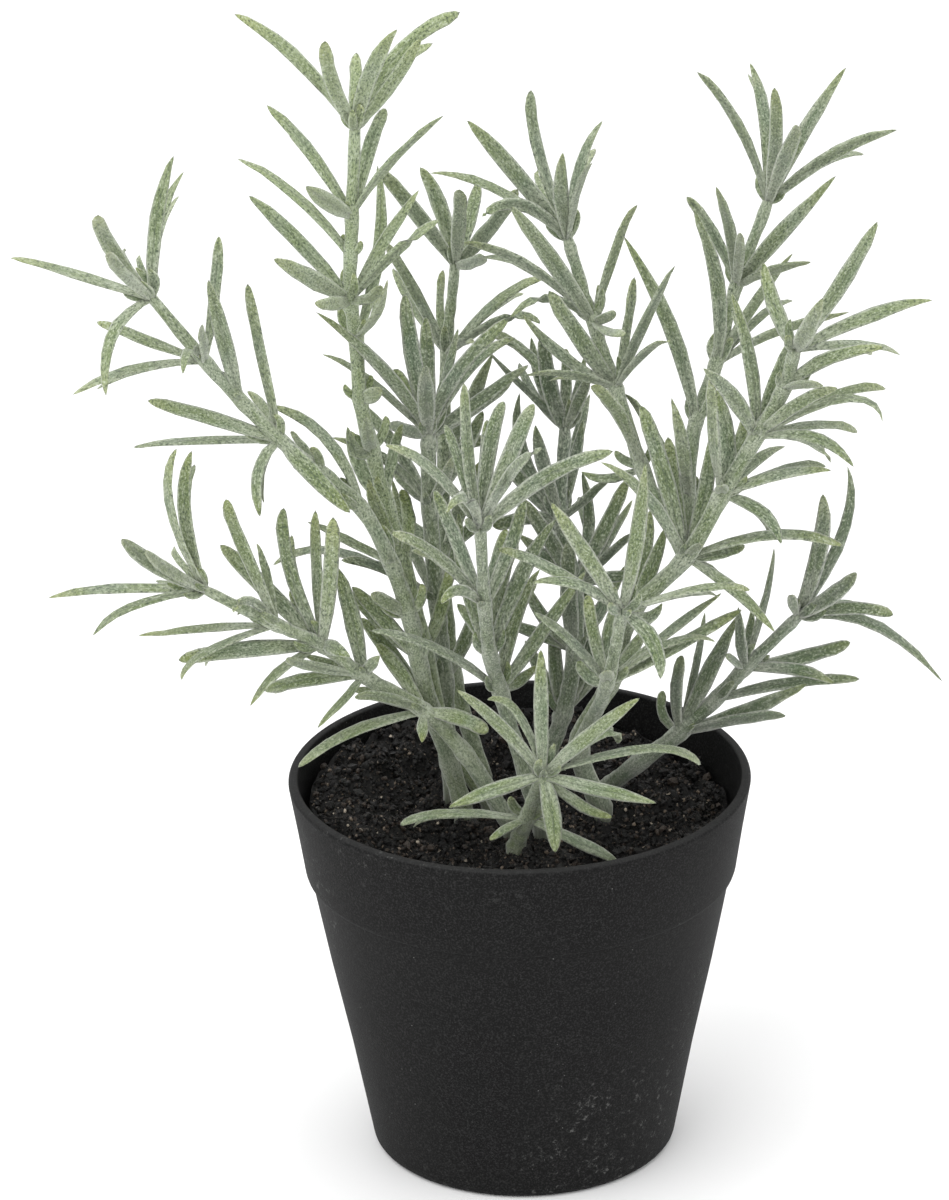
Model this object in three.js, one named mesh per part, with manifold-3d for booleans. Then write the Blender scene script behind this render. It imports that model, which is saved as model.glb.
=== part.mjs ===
// A lavender plant in a nine-centimetre plastic pot: felted grey-green leaves stand in
// whorls on a few thick stems, which root in dark potting soil.
// Units are millimetres, +Z is up, -Y is the front, and the origin is the middle of the
// pot's underside.
import * as THREE from 'three';
import { mergeVertices } from 'three/addons/utils/BufferGeometryUtils.js';
import Module from 'manifold-3d';

const wasm = await Module();
wasm.setup();

// ---------------------------------------------------------------- driving dimensions

const RIM_RADIUS = 45;          // outer radius of the rim: a 9 cm pot
const POT_HEIGHT = 77.8;
const COLLAR_HEIGHT = 19.4;     // the thicker band below the rim
const COLLAR_FOOT_RADIUS = 42.1;
const BODY_TOP_RADIUS = 41.1;   // the body stands back under the collar
const BASE_RADIUS = 30;
const WALL = 1.9;
const FLOOR = 2.4;
const DRAIN_RADIUS = 3;         // drain holes in the floor
const DRAIN_CIRCLE = 19;
const DRAIN_COUNT = 4;

const SOIL_TOP = 68;            // height of the soil's surface
const SOIL_RELIEF = 0.7;        // its lumps
const SOIL_BANK = 5;            // how much higher it lies along the left and back wall
const GAP = 0.3;                // clearance between pieces that touch
const ROOT_DEPTH = 11;          // length of stem that stands in the soil

const LEAF_WIDTH = 2.9;
const LEAF_THICKNESS = 0.36;    // as a share of the width
const LEAF_MIN_THICKNESS = 0.9;
const BUD_LENGTH = 3;           // the pointed end of a stem
const STEM_SIDES = 5;
const STEM_STEP = 12;           // length of stem between its rings

// The branches are laid out on an upright sheet that is looked at from the front, from a
// little above: across and up in millimetres from the sheet's middle, and how far back.
const EYE_DISTANCE = 1250;
const EYE_RAISE = 23.2;         // degrees above the horizon
const EYE_ROLL = -0.95;         // degrees
const SHEET_MIDDLE = new THREE.Vector3(-8.2, 0, 114.5);
const DEPTH_GAIN = 0.7;         // how much further apart, front to back, the high parts stand
const CLOSE_BELOW = -40;        // nothing is moved below this height on the sheet
const OPEN_FROM = 30;           // and everything above this one is moved in full

const radians = THREE.MathUtils.degToRad;
const eyeBack = new THREE.Vector3(0, -Math.cos(radians(EYE_RAISE)), Math.sin(radians(EYE_RAISE)));
const eyeRight = new THREE.Vector3(1, 0, 0).applyAxisAngle(eyeBack, radians(EYE_ROLL));
const eyeUp = new THREE.Vector3().crossVectors(eyeBack, eyeRight);
const eye = SHEET_MIDDLE.clone().addScaledVector(eyeBack, EYE_DISTANCE);

// The point of the plant that is seen at (across, up) on the sheet. Near the soil it lies at
// the given depth, and towards the top, where the branches spread apart, further from 0.
function place(across, up, depth) {
  const onSheet = SHEET_MIDDLE.clone().addScaledVector(eyeRight, across).addScaledVector(eyeUp, up);
  const ray = onSheet.sub(eye);
  const spread = Math.min(1, Math.max(0, (up - CLOSE_BELOW) / (OPEN_FROM - CLOSE_BELOW)));
  return eye.clone().addScaledVector(ray, (depth * (1 + DEPTH_GAIN * spread) - eye.y) / ray.y);
}

// ---------------------------------------------------------------- the branches

// Each branch: a name, where it stands in the soil [x, y], the radius of its stem at the top
// and at the foot, and its whorls from the tip down. A whorl is [across, up, depth] of a node
// on the stem, then its leaves. A leaf is [tip across, tip up, how far behind the node the
// tip lies, middle across, middle up, width as seen]. An arm is a second stem that leaves
// its branch at the whorl of that number, counted from zero.
const BRANCHES = [
  {
    name: 'leafy_stem_front', foot: [-1, -17], radii: [1.3, 1.9],
    whorls: [
      [[13.2, -33.7, -24], [
        [12.8, -9.6, 3, 12.8, -21.2, 2.9], [-3.4, -17.3, -6, 4.9, -24, 2.7],
        [31.6, -18.8, -4, 22.2, -26, 2.9], [34.9, -39, -8, 24.1, -36.5, 2.9],
        [-4.9, -40, -8, 3.9, -36.5, 2.9], [15.5, -48.7, -9, 14.9, -41.3, 3.7],
        [26.4, -41.7, -2, 20.3, -39.4, 2.3], [43.7, -31.5, 4, 32.8, -28.5, 1.7],
        [27.4, -27.9, 6, 24.5, -25.6, 2], [2.4, -19.2, 8, 8.2, -21.5, 1.7],
      ]],
      [[10, -42, -19], [
        [-14.3, -43.3, -4, -5.7, -41, 1.9], [27.6, -50.4, -6, 21.3, -47.1, 2.3],
        [3, -46, -6, 6, -44, 1.8], [18, -45, 4, 14, -43, 1.8],
      ]],
    ],
  },
  {
    name: 'leafy_stem_low_left', foot: [-2, -7], radii: [1.1, 1.8],
    whorls: [
      [[-51.8, 1.9, -20], [
        [-82.2, 0.6, 2, -68.2, 2.3, 1.9], [-73.7, -6.7, -6, -65.3, -1, 1.7],
        [-68.2, 12.5, -10, -62.4, 7.3, 3.1], [-63.9, 9.6, -14, -59.5, 6.2, 2.3],
        [-58.2, 10.2, 9, -56.6, 7.3, 1.3], [-57.4, 29.2, 2, -58.6, 17.5, 1.7],
        [-54.5, 28.8, 6, -55.8, 16.8, 2.6], [-61.2, 3.5, 10, -57, 2.9, 1.3],
      ]],
      [[-38, -4.8, -17], [
        [-46.2, -2.5, -8, -43.2, 0, 1.7], [-64.5, -7.1, 6, -51.8, -5.4, 1.6],
        [-56.6, -15.4, -7, -51.8, -10, 1.6], [-48.2, 19.2, 4, -44.6, 10.2, 2.5],
        [-42.2, 11, 9, -39.9, 4.8, 1.6],
      ]],
      [[-29.3, -8.7, -14], [
        [-57, -11.5, -6, -45.1, -9.6, 3.2], [-48.9, 10.6, -4, -40.9, 2.9, 3.4],
        [-36.8, 17.7, 2, -35.6, 6, 2.7], [-30.9, 17.3, 7, -30.3, 4.8, 2.3],
        [-27.2, 15.8, -4, -27.8, 3.8, 3], [-43.2, -20.4, -6, -37.4, -13.5, 1.9],
        [-24.5, -10.6, -7, -27.2, -9.2, 3], [-35.5, 2, 8, -33, -3, 2.2],
      ]],
      [[-21.5, -14.5, -11], [
        [-26.6, 6.2, 4, -23.6, -3, 3.4], [-40.9, -17.7, 3, -32.6, -15.4, 2.7],
        [-30.5, -24.4, -7, -24.7, -18.6, 1.7], [-18.5, -11, -4, -20, -12.5, 2.4],
        [-33, -10.5, 6, -27.5, -12.4, 2], [-36, -11.2, -8, -31.5, -12.6, 2],
      ]],
      [[-9.5, -21.5, -9], [
        [-33.9, -32.3, -6, -23.9, -25.4, 2.3], [2.6, -25.4, -4, -2.8, -22.7, 3.2],
        [-10, -27, -6, -10, -24.5, 2.2], [-24, -17, 4, -17, -18.6, 2.6],
        [-19, -8, 6, -14.8, -13.2, 3], [-23.5, -18.5, -5, -17, -18.7, 2.2],
      ]],
      [[-1.8, -29.6, -8], []],
    ],
  },
  {
    name: 'leafy_stem_centre', foot: [4, -8], radii: [1.2, 1.7],
    whorls: [
      [[1.1, 13.5, -20], [
        [-1.6, 41.7, 2, -1.2, 27.9, 2.3], [26.6, 28.5, -4, 13.6, 23.7, 3.1],
        [12.8, 29.4, -9, 6.4, 23.5, 2.3], [-5.5, 16.7, -10, -1.6, 19.6, 2.3],
        [-17.2, 29.8, 2, -8, 25, 2.2], [11.5, 37.8, 3, 7.9, 30.5, 3.3],
        [5.8, 38.3, 8, 3, 29.8, 3],
        [2.5, 34.5, 5, 2.2, 25, 3], [-5.5, 34, 8, -2.6, 25.5, 2.2],
      ]],
      [[2, -1.3, -16], [
        [-6.2, -0.6, -8, -2.8, 1.9, 2.3], [-15.9, 13.1, -4, -6.6, 8.1, 2.3],
        [9.6, 19.5, 7, 6.6, 9.5, 2.8], [-7.6, 21.4, 9, -3.4, 11.2, 2.6],
        [6.2, 14, 3, 3.9, 6.4, 2.4],
      ]],
      [[3, -10.6, -13], [
        [15.8, 15.9, 4, 8.8, 4.4, 3.1], [8, 12, 8, 5, 3, 3], [-3.4, -0.6, 6, 0.3, -5.2, 2.6],
        [-3.9, 15.8, 8, -1.4, 2.6, 2.8],
      ]],
      [[4.9, -17.3, -11], [
        [-19.7, -5.4, -6, -6.6, -9.6, 1.9], [21.2, 5.6, 4, 12.8, -6.4, 2.8],
        [12.5, 6, 8, 7.6, -4, 3], [12, -12.6, 6, 8.5, -15.6, 2.4],
      ]],
    ],
  },
  {
    name: 'leafy_stem_left', foot: [-11, 0], radii: [1.2, 1.9],
    whorls: [
      [[-62, 58, -14], [
        [-89.1, 66, -3, -76.6, 62.7, 1.9], [-72.6, 74.6, -12, -69.8, 67.4, 3],
        [-70.7, 67.3, -16, -68.2, 63.5, 2.5], [-67.8, 67.7, 14, -66.6, 64, 1.5],
        [-64.9, 66.3, 6, -64.1, 63.8, 1.4], [-58.2, 85.4, 3, -61.3, 72.2, 2.8],
        [-56, 82.6, 9, -61.1, 71.4, 2], [-70.8, 39.2, -6, -69.6, 51.2, 2.3],
        [-70.1, 60.8, 9, -68, 60, 1.4],
      ]],
      [[-51.8, 45.8, -12], [
        [-72.8, 53.9, 6, -63.3, 50.1, 2], [-77.4, 39.6, -5, -65.4, 44.5, 1.8],
        [-56.3, 43.5, -9, -54.7, 48.1, 1.9], [-49.1, 70, 2, -49.9, 60, 2.2],
        [-53.3, 52.9, -10, -52.1, 49.2, 1.8],
      ]],
      [[-45.1, 38.5, -10], [
        [-51.3, 61.9, -6, -48.4, 50.7, 3.2],
      ]],
      [[-37.4, 30.8, -9], [
        [-43.7, 60.8, 3, -41, 46.9, 2], [-62.8, 38.4, -5, -52.4, 35.5, 2.8],
        [-65.7, 29.6, 7, -53.3, 30.7, 1.8], [-41.4, 15.8, -8, -41.5, 25, 2.3],
        [-43.2, 40, 11, -40.1, 36.2, 1.9],
        [-24, 16.8, -5, -31.5, 24.6, 3.6],
      ]],
      [[-29.7, 24.6, -8], [
        [-35.9, 32.3, 5, -32.5, 29, 1.4],
      ]],
      [[-21.8, 17.8, -7], [
        [-39.3, 37.5, 6, -28.2, 30.8, 2.3],
      ]],
      [[-16, 7, -6], [
        [-32.2, 15.2, 4, -24.3, 11.5, 1.9],
      ]],
      [[-12.6, -3, -5], [
        [-20.1, 1.5, -6, -17, -0.4, 2.8],
      ]],
      [[-10.8, -11.5, -5], [
        [-25.9, 3.8, 5, -18.2, -4.8, 1.9], [-23.5, 2.5, -4, -17.6, -3.6, 3],
      ]],
      [[-8, -22, -3], [
        [-22, -3.5, 5, -15.6, -11, 3],
      ]],
      [[-4.5, -32, -1], []],
    ],
  },
  {
    name: 'leafy_stem_tallest', foot: [-6, 4], radii: [1.2, 1.8],
    whorls: [
      [[-23, 90.4, 4], [
        [-46, 112.9, -4, -33.8, 103.8, 2.6], [-28.8, 107.4, -9, -27.3, 99.4, 2.9],
        [-22.8, 105.4, 9, -22.8, 98, 2.7], [-15, 109.7, -6, -20, 101.3, 3.2],
        [-2.6, 112.9, 4, -15.1, 104.8, 2.9], [-10.5, 108, -2, -15.8, 99.5, 2.6],
      ]],
      [[-23.6, 74, 4], [
        [-17, 94.6, 7, -20, 87.5, 2.8], [-39.9, 95.2, 3, -31.8, 86.4, 2.5],
        [-32.5, 79.7, -12, -28.2, 76.6, 3.4], [-6, 93.3, -3, -16.1, 84.2, 1.7],
      ]],
      [[-23.8, 66, 3], [
        [-45.5, 85.3, 4, -33.9, 77.4, 2.1],
      ]],
      [[-23.9, 57.7, 3], [
        [-43.2, 77.6, -3, -34.1, 69.2, 2.9], [-38.4, 65.5, -12, -31.7, 62, 3.4],
        [-6.6, 73, -5, -14.4, 67.7, 2], [-10.5, 78.8, 5, -17.2, 69.3, 2.2], [-30.5, 57, -8, -27, 57, 2.8],
        [-18, 60.5, -8, -20.4, 58, 2.2],
      ]],
      [[-22.8, 50.4, 3], [
        [-17.2, 61.9, -8, -18.7, 55.4, 1.7], [-18.7, 83.8, 1, -18.4, 67, 2.5],
      ]],
      [[-22, 38.5, 2], [
        [-18, 41, -4, -19.5, 39.5, 3],
      ]],
      [[-19.7, 28.8, 2], [
        [-24.5, 33.4, -3, -22.6, 28.5, 2.4], [-21, 36, -6, -20.4, 31, 3],
      ]],
      [[-17.2, 19.2, 2], [
        [-23.8, 32.5, -3, -21.4, 24.4, 3], [-13.8, 34, 5, -15.8, 27.5, 2.3],
      ]],
      [[-13.8, 7.7, 2], [
        [-14.3, 21.5, 6, -12.6, 15, 2.6], [-20.5, 23.5, -3, -18, 15.5, 3],
      ]],
      [[-9.5, -10, 3], [
        [-15.5, 9.5, -4, -13, -0.5, 3], [-4.6, 7.5, 5, -6.4, -1.5, 2.8],
      ]],
      [[-5.5, -26, 4], []],
    ],
  },
  {
    name: 'leafy_stem_dark', foot: [-13, 9], radii: [1.6, 1.9],
    whorls: [
      [[-8.9, 31.7, 4], [
        [-30.1, 55.6, -4, -16.6, 43.3, 2.7], [-29.1, 47.7, 3, -19.7, 41.9, 1.6],
        [-13.4, 58.7, 3, -11.8, 46.6, 3.3], [-9.7, 45.8, -9, -9.3, 38.8, 3.4],
        [-3.2, 52.3, 6, -5.7, 42.3, 1.9], [6.8, 54.2, -3, -3.7, 43.3, 2.7],
        [7.8, 50.8, 5, -1.4, 44.2, 2.3],
        [-9.4, 54.5, 8, -9, 43.5, 3.2], [10.3, 45.6, 8, 0.6, 38.2, 2.6],
        [7.4, 42.6, 12, -0.6, 36.8, 3.1], [-17, 34.3, 8, -12.8, 32.6, 2.6],
      ]],
      [[-8.6, 18.3, 5], [
        [-24.4, 39.7, 4, -16.4, 31.2, 2.6], [-27.4, 31, -5, -17, 27, 2],
        [-4.3, 27.5, -6, -5.9, 23, 2.3], [-16.5, 26, 7, -12.5, 21.8, 2.2],
        [1.6, 36.4, 6, -2.4, 28, 3],
      ]],
      [[-7.2, 0, 6], [
        [-38.9, 6.7, 4, -26, 9.3, 1.9], [-25.6, 7.6, -4, -17.2, 6, 2],
        [-15.9, 23, 2, -12.4, 11.5, 2.5], [-3, 17, 3, -3.8, 8, 2.6],
      ]],
      [[-5.7, -15.4, 7], [
        [-13.4, 2.5, 3, -10.2, -6.5, 3], [1.4, 1.8, 4, -1.4, -6.8, 2.9],
      ]],
      [[-5.2, -28, 8], []],
    ],
  },
  {
    name: 'leafy_stem_back_left', foot: [-7, 15], radii: [1.1, 1.7],
    whorls: [
      [[-3.7, 64.4, 24], [
        [-10.5, 83.2, 3, -6.6, 75.6, 3.2], [-2.6, 79.4, -9, -3, 72.1, 2.8],
        [0.7, 80.6, 9, -0.7, 74, 2.7], [-18.6, 83.1, -4, -11.4, 74.6, 3.1],
        [8.4, 79.2, -6, 2.9, 71.4, 3], [2.5, 66.5, -9, -0.6, 64.8, 2.4],
      ]],
      [[-5.4, 47.1, 21], [
        [-17, 68.7, -4, -11.1, 58.7, 2.3], [-15.7, 63.8, 6, -11.4, 55.8, 1.4],
        [13.2, 62.4, 3, 4.5, 57.5, 2.2], [0, 49.6, -8, -2.8, 49.5, 1.7],
        [-6, 63.5, 8, -6.6, 55.8, 1.9], [12.8, 53.4, -3, 5.6, 54.2, 1.8],
      ]],
      [[-5.8, 28, 18], [
        [-15.5, 44.5, 4, -11.2, 37, 2.8], [3.4, 47.4, -3, -0.8, 38, 2.9], [5, 30.5, -8, -0.6, 30.4, 2.5],
      ]],
      [[-6, 8, 16], [
        [-16.8, 15.5, -5, -11.6, 13.5, 2.9], [1.6, 27.2, -3, -2.4, 18.4, 3], [6, 17.5, 4, 0.4, 14.6, 2.6],
      ]],
      [[-4, -14, 15], []],
    ],
  },
  {
    name: 'leafy_stem_back', foot: [4, 14], radii: [1.3, 1.9],
    whorls: [
      [[17.4, 32.7, 17], [
        [2.4, 47.5, -2, 11.6, 38.8, 1.7], [17.6, 48.5, 4, 17.6, 42.3, 2.3],
        [13.2, 51.4, -2, 14.4, 41.3, 3.4], [10.9, 50.6, 6, 12.9, 42, 2.6],
        [22.2, 43.8, -4, 20.3, 38.9, 2.5], [9.1, 45.8, 8, 11.5, 39.5, 1.8],
        [0.5, 52.5, 3, 11.8, 45.7, 2], [21, 46.8, 6, 20, 40, 2.3],
      ]],
      [[16.6, 15.4, 15], [
        [20.8, 35, 4, 19.2, 26.6, 2.3], [8.8, 39.8, 2, 9.3, 28, 2.6],
        [11.8, 33.6, -4, 13.2, 26, 2.9], [27, 24.6, -2, 21.5, 19.6, 1.9],
        [22.1, 40, 5, 19.4, 29.6, 2.6], [3.5, 14, 3, 10, 15.8, 2.8],
        [5.6, 27.4, 4, 10.2, 21.6, 3],
      ]],
      [[19.4, 3, 13], [
        [29.5, 23.5, 2, 25, 13.6, 3.1], [30.3, 19.6, 7, 25.6, 11.5, 1.9],
        [30.3, 12.9, -4, 25.4, 8.5, 1.9], [20.5, 24.6, 6, 22, 14, 2.4], [9, 19.5, -2, 14.2, 12, 3.2],
        [14.4, 25.5, 5, 15.6, 14.5, 3], [31.6, 4.8, -3, 25.8, 4.4, 2.4], [8.4, 12.6, 5, 13.4, 8.4, 2.6],
      ]],
      [[19.3, -9.6, 12], [
        [10, 3.5, 2, 13.2, -3.4, 2.6], [21.4, 3.6, 4, 20.6, -3.6, 2.4],
        [18.2, 11.4, -6, 18.2, 0.5, 3.4], [29, 6.6, 4, 24.4, -1.6, 2.8], [5.2, -4.2, 4, 11.4, -6.2, 2.6],
      ]],
      [[17, -22, 13], [
        [15.5, -5, 3, 15.6, -13, 3], [22.8, -0.6, 5, 21.8, -11, 2.5],
        [9.6, -7.4, 4, 12.8, -14, 2.7], [28.4, -9.8, 3, 23.2, -14.6, 2.4],
      ]],
    ],
  },
  {
    name: 'leafy_stem_right', foot: [16, 0], radii: [1.3, 2.1],
    whorls: [
      [[61.6, 48, -10], [
        [77.3, 72.6, -3, 70.9, 61.4, 3.1], [66.8, 57.7, -11, 64.1, 52, 3.4],
        [88.2, 58, 2, 75.7, 54.6, 2.7], [82.2, 47.5, 6, 73.4, 49.3, 1.8],
        [55.4, 65, 4, 57.9, 56, 3],
      ]],
      [[59.4, 40.5, -9], [
        [78.8, 48.6, -4, 67.8, 46.4, 2.7], [67.2, 41.3, -9, 63, 41.5, 1.6],
      ]],
      [[54.1, 31.3, -9], [
        [79.5, 41.5, 4, 68, 39, 2.1], [79.1, 34.4, -3, 71, 38.8, 1.7],
        [74.1, 32.7, 8, 65.6, 33.7, 1.8], [73, 25.6, -7, 65.5, 31.2, 2.3],
        [49.3, 59.2, 2, 53.2, 45.2, 2.7], [43.7, 44.6, -7, 49.7, 39, 3.1],
        [60.3, 49.5, 5, 57.4, 41, 2.4], [70, 41, -5, 62, 37.6, 2.6],
      ]],
      [[47.6, 20.2, -9], [
        [68.7, 25, -4, 58.7, 24.2, 2.1], [67.8, 26.2, 5, 59.1, 25.2, 1.4],
        [58.9, 10.8, -5, 55.4, 16.8, 2.5], [45.7, 43.3, -4, 45.9, 31.7, 1.9],
        [47.3, 22.5, -6, 47.5, 21.5, 2.8], [46.4, 40.5, 5, 48.7, 30.4, 3.3],
        [52, 36, 8, 50.5, 28, 3], [60, 30.2, 6, 53.4, 26.3, 2.4],
      ]],
      [[40.5, 8.1, -9], [
        [70.9, 10.4, 3, 57.3, 12.6, 2], [57.8, -6.3, -7, 50.1, 1.9, 2.3],
        [44.1, 11, -6, 42.5, 10, 1.8], [24.7, 26.9, -6, 33.7, 19.2, 2.5],
        [32, 37.5, 5, 36.2, 25, 3.4], [45, 31, 4, 44.2, 20, 3.2],
        [49.5, 2.6, 3, 45, 6, 1.8], [52, 10.6, 4, 47, 8.8, 1.9],
        [37.2, 31.4, 6, 38.7, 20, 2.9],
      ]],
      [[29.9, -2.9, -8], [
        [36.8, 14.2, 3, 33.8, 5.6, 3], [33.8, 17.5, 7, 32.4, 7, 2.8],
      ]],
      [[26.6, -15, -6], []],
      [[20, -28, -3], []],
    ],
    arms: [
      {
        radii: [1.2, 1.5],
        whorls: [
          [[56.4, 76.3, 14], [
            [42.8, 101.7, -2, 51, 91.1, 2], [52.8, 103.3, 6, 56, 91.9, 2.5],
            [57.6, 98.2, -8, 58, 88.7, 2.7], [71.6, 102.5, 2, 63.2, 89.8, 2.9],
            [63, 91.9, -9, 60.4, 86.6, 3], [81.5, 90.6, -4, 69, 85.8, 2.5],
            [75, 85.8, 8, 67, 84.1, 1.8],
          ]],
          [[50.3, 60.3, 11], [
            [69.7, 81.7, -4, 58.7, 70.2, 3.1], [40.9, 77.5, 3, 46.4, 69.8, 2.1],
            [46.3, 79.2, -7, 49.1, 71.4, 2.4], [51.4, 70.6, -5, 51, 66.5, 2.2],
            [64.8, 65.1, -8, 57.2, 63.4, 1.9],
          ]],
          [[46.4, 45.2, 8], [
            [60.9, 66.9, 5, 54.3, 57.7, 2.3], [61.2, 57.5, 9, 55.3, 54.8, 1.5],
            [42, 75.3, -3, 46.9, 60, 3], [72.2, 55.2, 3, 58.7, 51.9, 1.9],
          ]],
          [[42.5, 34, 4], [
            [28.6, 70, 2, 38.1, 51.5, 3],
          ]],
          [[41, 19.5, -2], [
            [38, 38.5, -6, 40.3, 27.9, 2.7], [29.1, 39.8, 5, 34.2, 32.6, 2.1],
          ]],
        ],
        joins: 4,
      },
      {
        radii: [1.2, 1.5],
        whorls: [
          [[18, 69.2, 10], [
            [-1.6, 92.3, -4, 7.4, 82.7, 3.4], [10.9, 98, 3, 12.1, 87.2, 2.3],
            [11.8, 82.9, 10, 13.7, 77.5, 2.1], [17.2, 86.2, -9, 16.6, 78.5, 2.9],
            [24.5, 92.3, 4, 20, 82.6, 2.1], [22.4, 84.6, -8, 19.9, 78.8, 1.4],
            [1.4, 73.7, -7, 9.2, 76, 2.6], [-8.6, 82.5, 2, 4.6, 78.9, 1.8],
          ]],
          [[22.8, 53.5, 8], [
            [6.8, 76, -4, 15.1, 65, 3.4], [30.5, 76.5, 3, 26.7, 66.3, 1.9],
            [-2.4, 68.7, 3, 10.2, 64.5, 1.8], [6.8, 54.2, -7, 14.1, 58.1, 1.7],
            [27.4, 55.4, -5, 25, 54.2, 2], [28.4, 51.5, -8, 25.5, 51.8, 1.6],
          ]],
          [[27.2, 40.6, 4], [
            [14.1, 59.6, -3, 20.5, 50, 3.4], [30.7, 62.2, 6, 29.1, 51, 1.9],
            [38.5, 64.4, -4, 32.7, 53.5, 2.1], [37.5, 50.2, -8, 32.4, 47.4, 1.6],
            [9.7, 43.7, -5, 19.7, 43.3, 1.7], [9, 55, 5, 17.4, 46.6, 2.3],
          ]],
          [[32.2, 25.5, 0], [
            [22.4, 41.4, -5, 27.8, 35.8, 2.6], [20.5, 24.6, 4, 26, 23.4, 1.9],
          ]],
        ],
        joins: 4,
      },
      {
        radii: [1.2, 1.6],
        whorls: [
          [[28.4, -2.3, -22], [
            [32.8, 26.3, 2, 31.2, 11.5, 3.1], [14.7, 18.7, -4, 21.8, 8.1, 3.1],
            [4.3, 10, 4, 14.6, 6.1, 2.1], [11.1, 3.5, -6, 20.3, 2.9, 2],
            [53, 1.9, 3, 43.4, 2.3, 1.5], [35.9, -15.4, -8, 34.1, -7.7, 3],
            [36, -0.5, 6, 33, -3.6, 2.6],
          ]],
          [[25.6, -15.8, -18], [
            [11.3, -2.3, -4, 18.4, -7.7, 1.9], [46.6, -7.7, 4, 37.5, -8.2, 1.5],
            [51.4, -1.7, 8, 37.6, -9.5, 2.4], [25.3, -13.3, -6, 25.4, -14.5, 3],
            [21.8, 1, 5, 23, -7, 2.6], [26.8, -0.4, 8, 26, -7.4, 3],
            [47.6, 1.2, 11, 38, -5.6, 1.9], [33.4, -5, -3, 30, -10, 2.6],
            [20, -11.5, 6, 22, -14.6, 2.8],
          ]],
        ],
        joins: 7,
      },
    ],
  },
  {
    name: 'leafy_stem_low_right', foot: [17, 9], radii: [1.2, 1.9],
    whorls: [
      [[62.2, -3.2, 2], [
        [67, 20.4, -4, 66.3, 9.6, 3.4], [72.2, 25.8, 3, 70.8, 12.6, 2.4],
        [73.7, 5.4, -8, 69.2, 1.2, 3.2], [73.2, -0.4, 8, 68.4, -0.8, 1.4],
        [80.5, -2.9, -5, 72.2, -1.5, 2.6], [89.9, -15.8, -3, 76.8, -4.7, 2.3],
        [60.8, 1.5, -5, 61.2, -0.5, 2],
      ]],
      [[52, -13.1, 3], [
        [57.8, 10, 5, 55.9, 0, 1.6], [51, -1, -5, 51.2, -7.7, 2.3],
        [53.6, -1.5, 6, 52.7, -7.7, 2], [72.2, -8.2, 5, 63.2, -11, 3],
        [69.1, -16, -4, 61.6, -13.3, 2.6], [48.7, -10.6, -6, 50, -11.8, 1.6],
      ]],
      [[46.2, -19.2, 3], [
        [74.1, -15, 3, 60, -16, 2.3],
      ]],
      [[39.5, -25.5, 3], [
        [64.1, -16, -6, 52, -21.5, 3.1], [60.1, -22.1, -9, 52, -22.7, 2.2],
        [40.2, -10.6, -5, 38.8, -17.4, 2.5], [44.3, -2.3, 4, 42.6, -13, 1.6],
        [50.7, -2.9, -1, 45.2, -13.7, 3.2], [36.4, -17.3, 6, 36.2, -22, 2],
      ]],
      [[31.6, -31.2, 4], []],
    ],
  },
];

// Besides the leaves listed above, a whorl has some on the far side of its stem.
const BACK_SHARE = 0.35;        // how many, for each leaf that is listed
const MOST_AT_BACK = 3;
const MOST_AT_TIP = 1;          // and at a whorl that ends its stem
const BACK_TRIES = 8;           // draws that are tried before such a leaf is left out
const BACK_REACH = [0.7, 0.95]; // its tip, as a share of the way to a listed leaf's tip
const BACK_DEPTH = [7, 12];     // and how far the tip lies behind that one
const BACK_WIDTH = 0.8;         // its width, as a share of that leaf's

// A leaf that would touch another branch is moved forward or back by one of these steps.
const DEPTH_STEPS = [0, 2.5, -2.5, 5, -5, 7.5, -7.5, 10, -10, 13, -13, 16, -16];
const CLEARANCE = 0.3;
const SLIVER = 0.07;            // edges shorter than this are closed up
const SAMPLES = 16;             // points compared along a leaf
const STEM_SAMPLES = 64;        // and along a stem
const OWN_ROOT = 0.35;          // share of a leaf that may touch its own branch

// ---------------------------------------------------------------- solids

// Repeatable random numbers from 0 to 1.
function lcg(seed) {
  let state = seed;
  return () => {
    state = (state * 16807) % 2147483647;
    return state / 2147483647;
  };
}

function toSolid(geometry) {
  geometry.deleteAttribute('normal');
  geometry.deleteAttribute('uv');
  const merged = mergeVertices(geometry, 1e-4);
  return new wasm.Manifold(new wasm.Mesh({
    numProp: 3,
    vertProperties: new Float32Array(merged.attributes.position.array),
    triVerts: new Uint32Array(merged.index.array),
  }));
}

function toGeometry(solid) {
  const mesh = solid.getMesh();
  const geometry = new THREE.BufferGeometry();
  geometry.setAttribute('position', new THREE.BufferAttribute(mesh.vertProperties, 3));
  geometry.setIndex(new THREE.BufferAttribute(mesh.triVerts, 1));
  geometry.computeVertexNormals();
  return geometry;
}

// The largest closed surface of a solid: its outside, without sealed hollows or slivers.
function outside(solid) {
  const bodies = toSolid(toGeometry(solid.simplify(SLIVER))).decompose();
  return bodies.reduce((best, body) => (body.volume() > best.volume() ? body : best));
}

// A closed body through rings of points, ending in a point if one is given.
function loft(rings, tip) {
  const sides = rings[0].length;
  const points = rings.flat();
  const faces = [];
  for (let i = 0; i + 1 < rings.length; i += 1) {
    for (let j = 0; j < sides; j += 1) {
      const a = i * sides + j;
      const b = i * sides + (j + 1) % sides;
      faces.push(a, b, a + sides, b, b + sides, a + sides);
    }
  }
  const last = (rings.length - 1) * sides;
  for (let j = 1; j + 1 < sides; j += 1) {
    faces.push(0, j + 1, j);
    if (!tip) {
      faces.push(last, last + j, last + j + 1);
    }
  }
  if (tip) {
    points.push(tip);
    for (let j = 0; j < sides; j += 1) {
      faces.push(last + j, last + (j + 1) % sides, points.length - 1);
    }
  }
  const geometry = new THREE.BufferGeometry().setFromPoints(points);
  geometry.setIndex(faces);
  return toSolid(geometry);
}

// ---------------------------------------------------------------- stems and leaves

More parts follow.
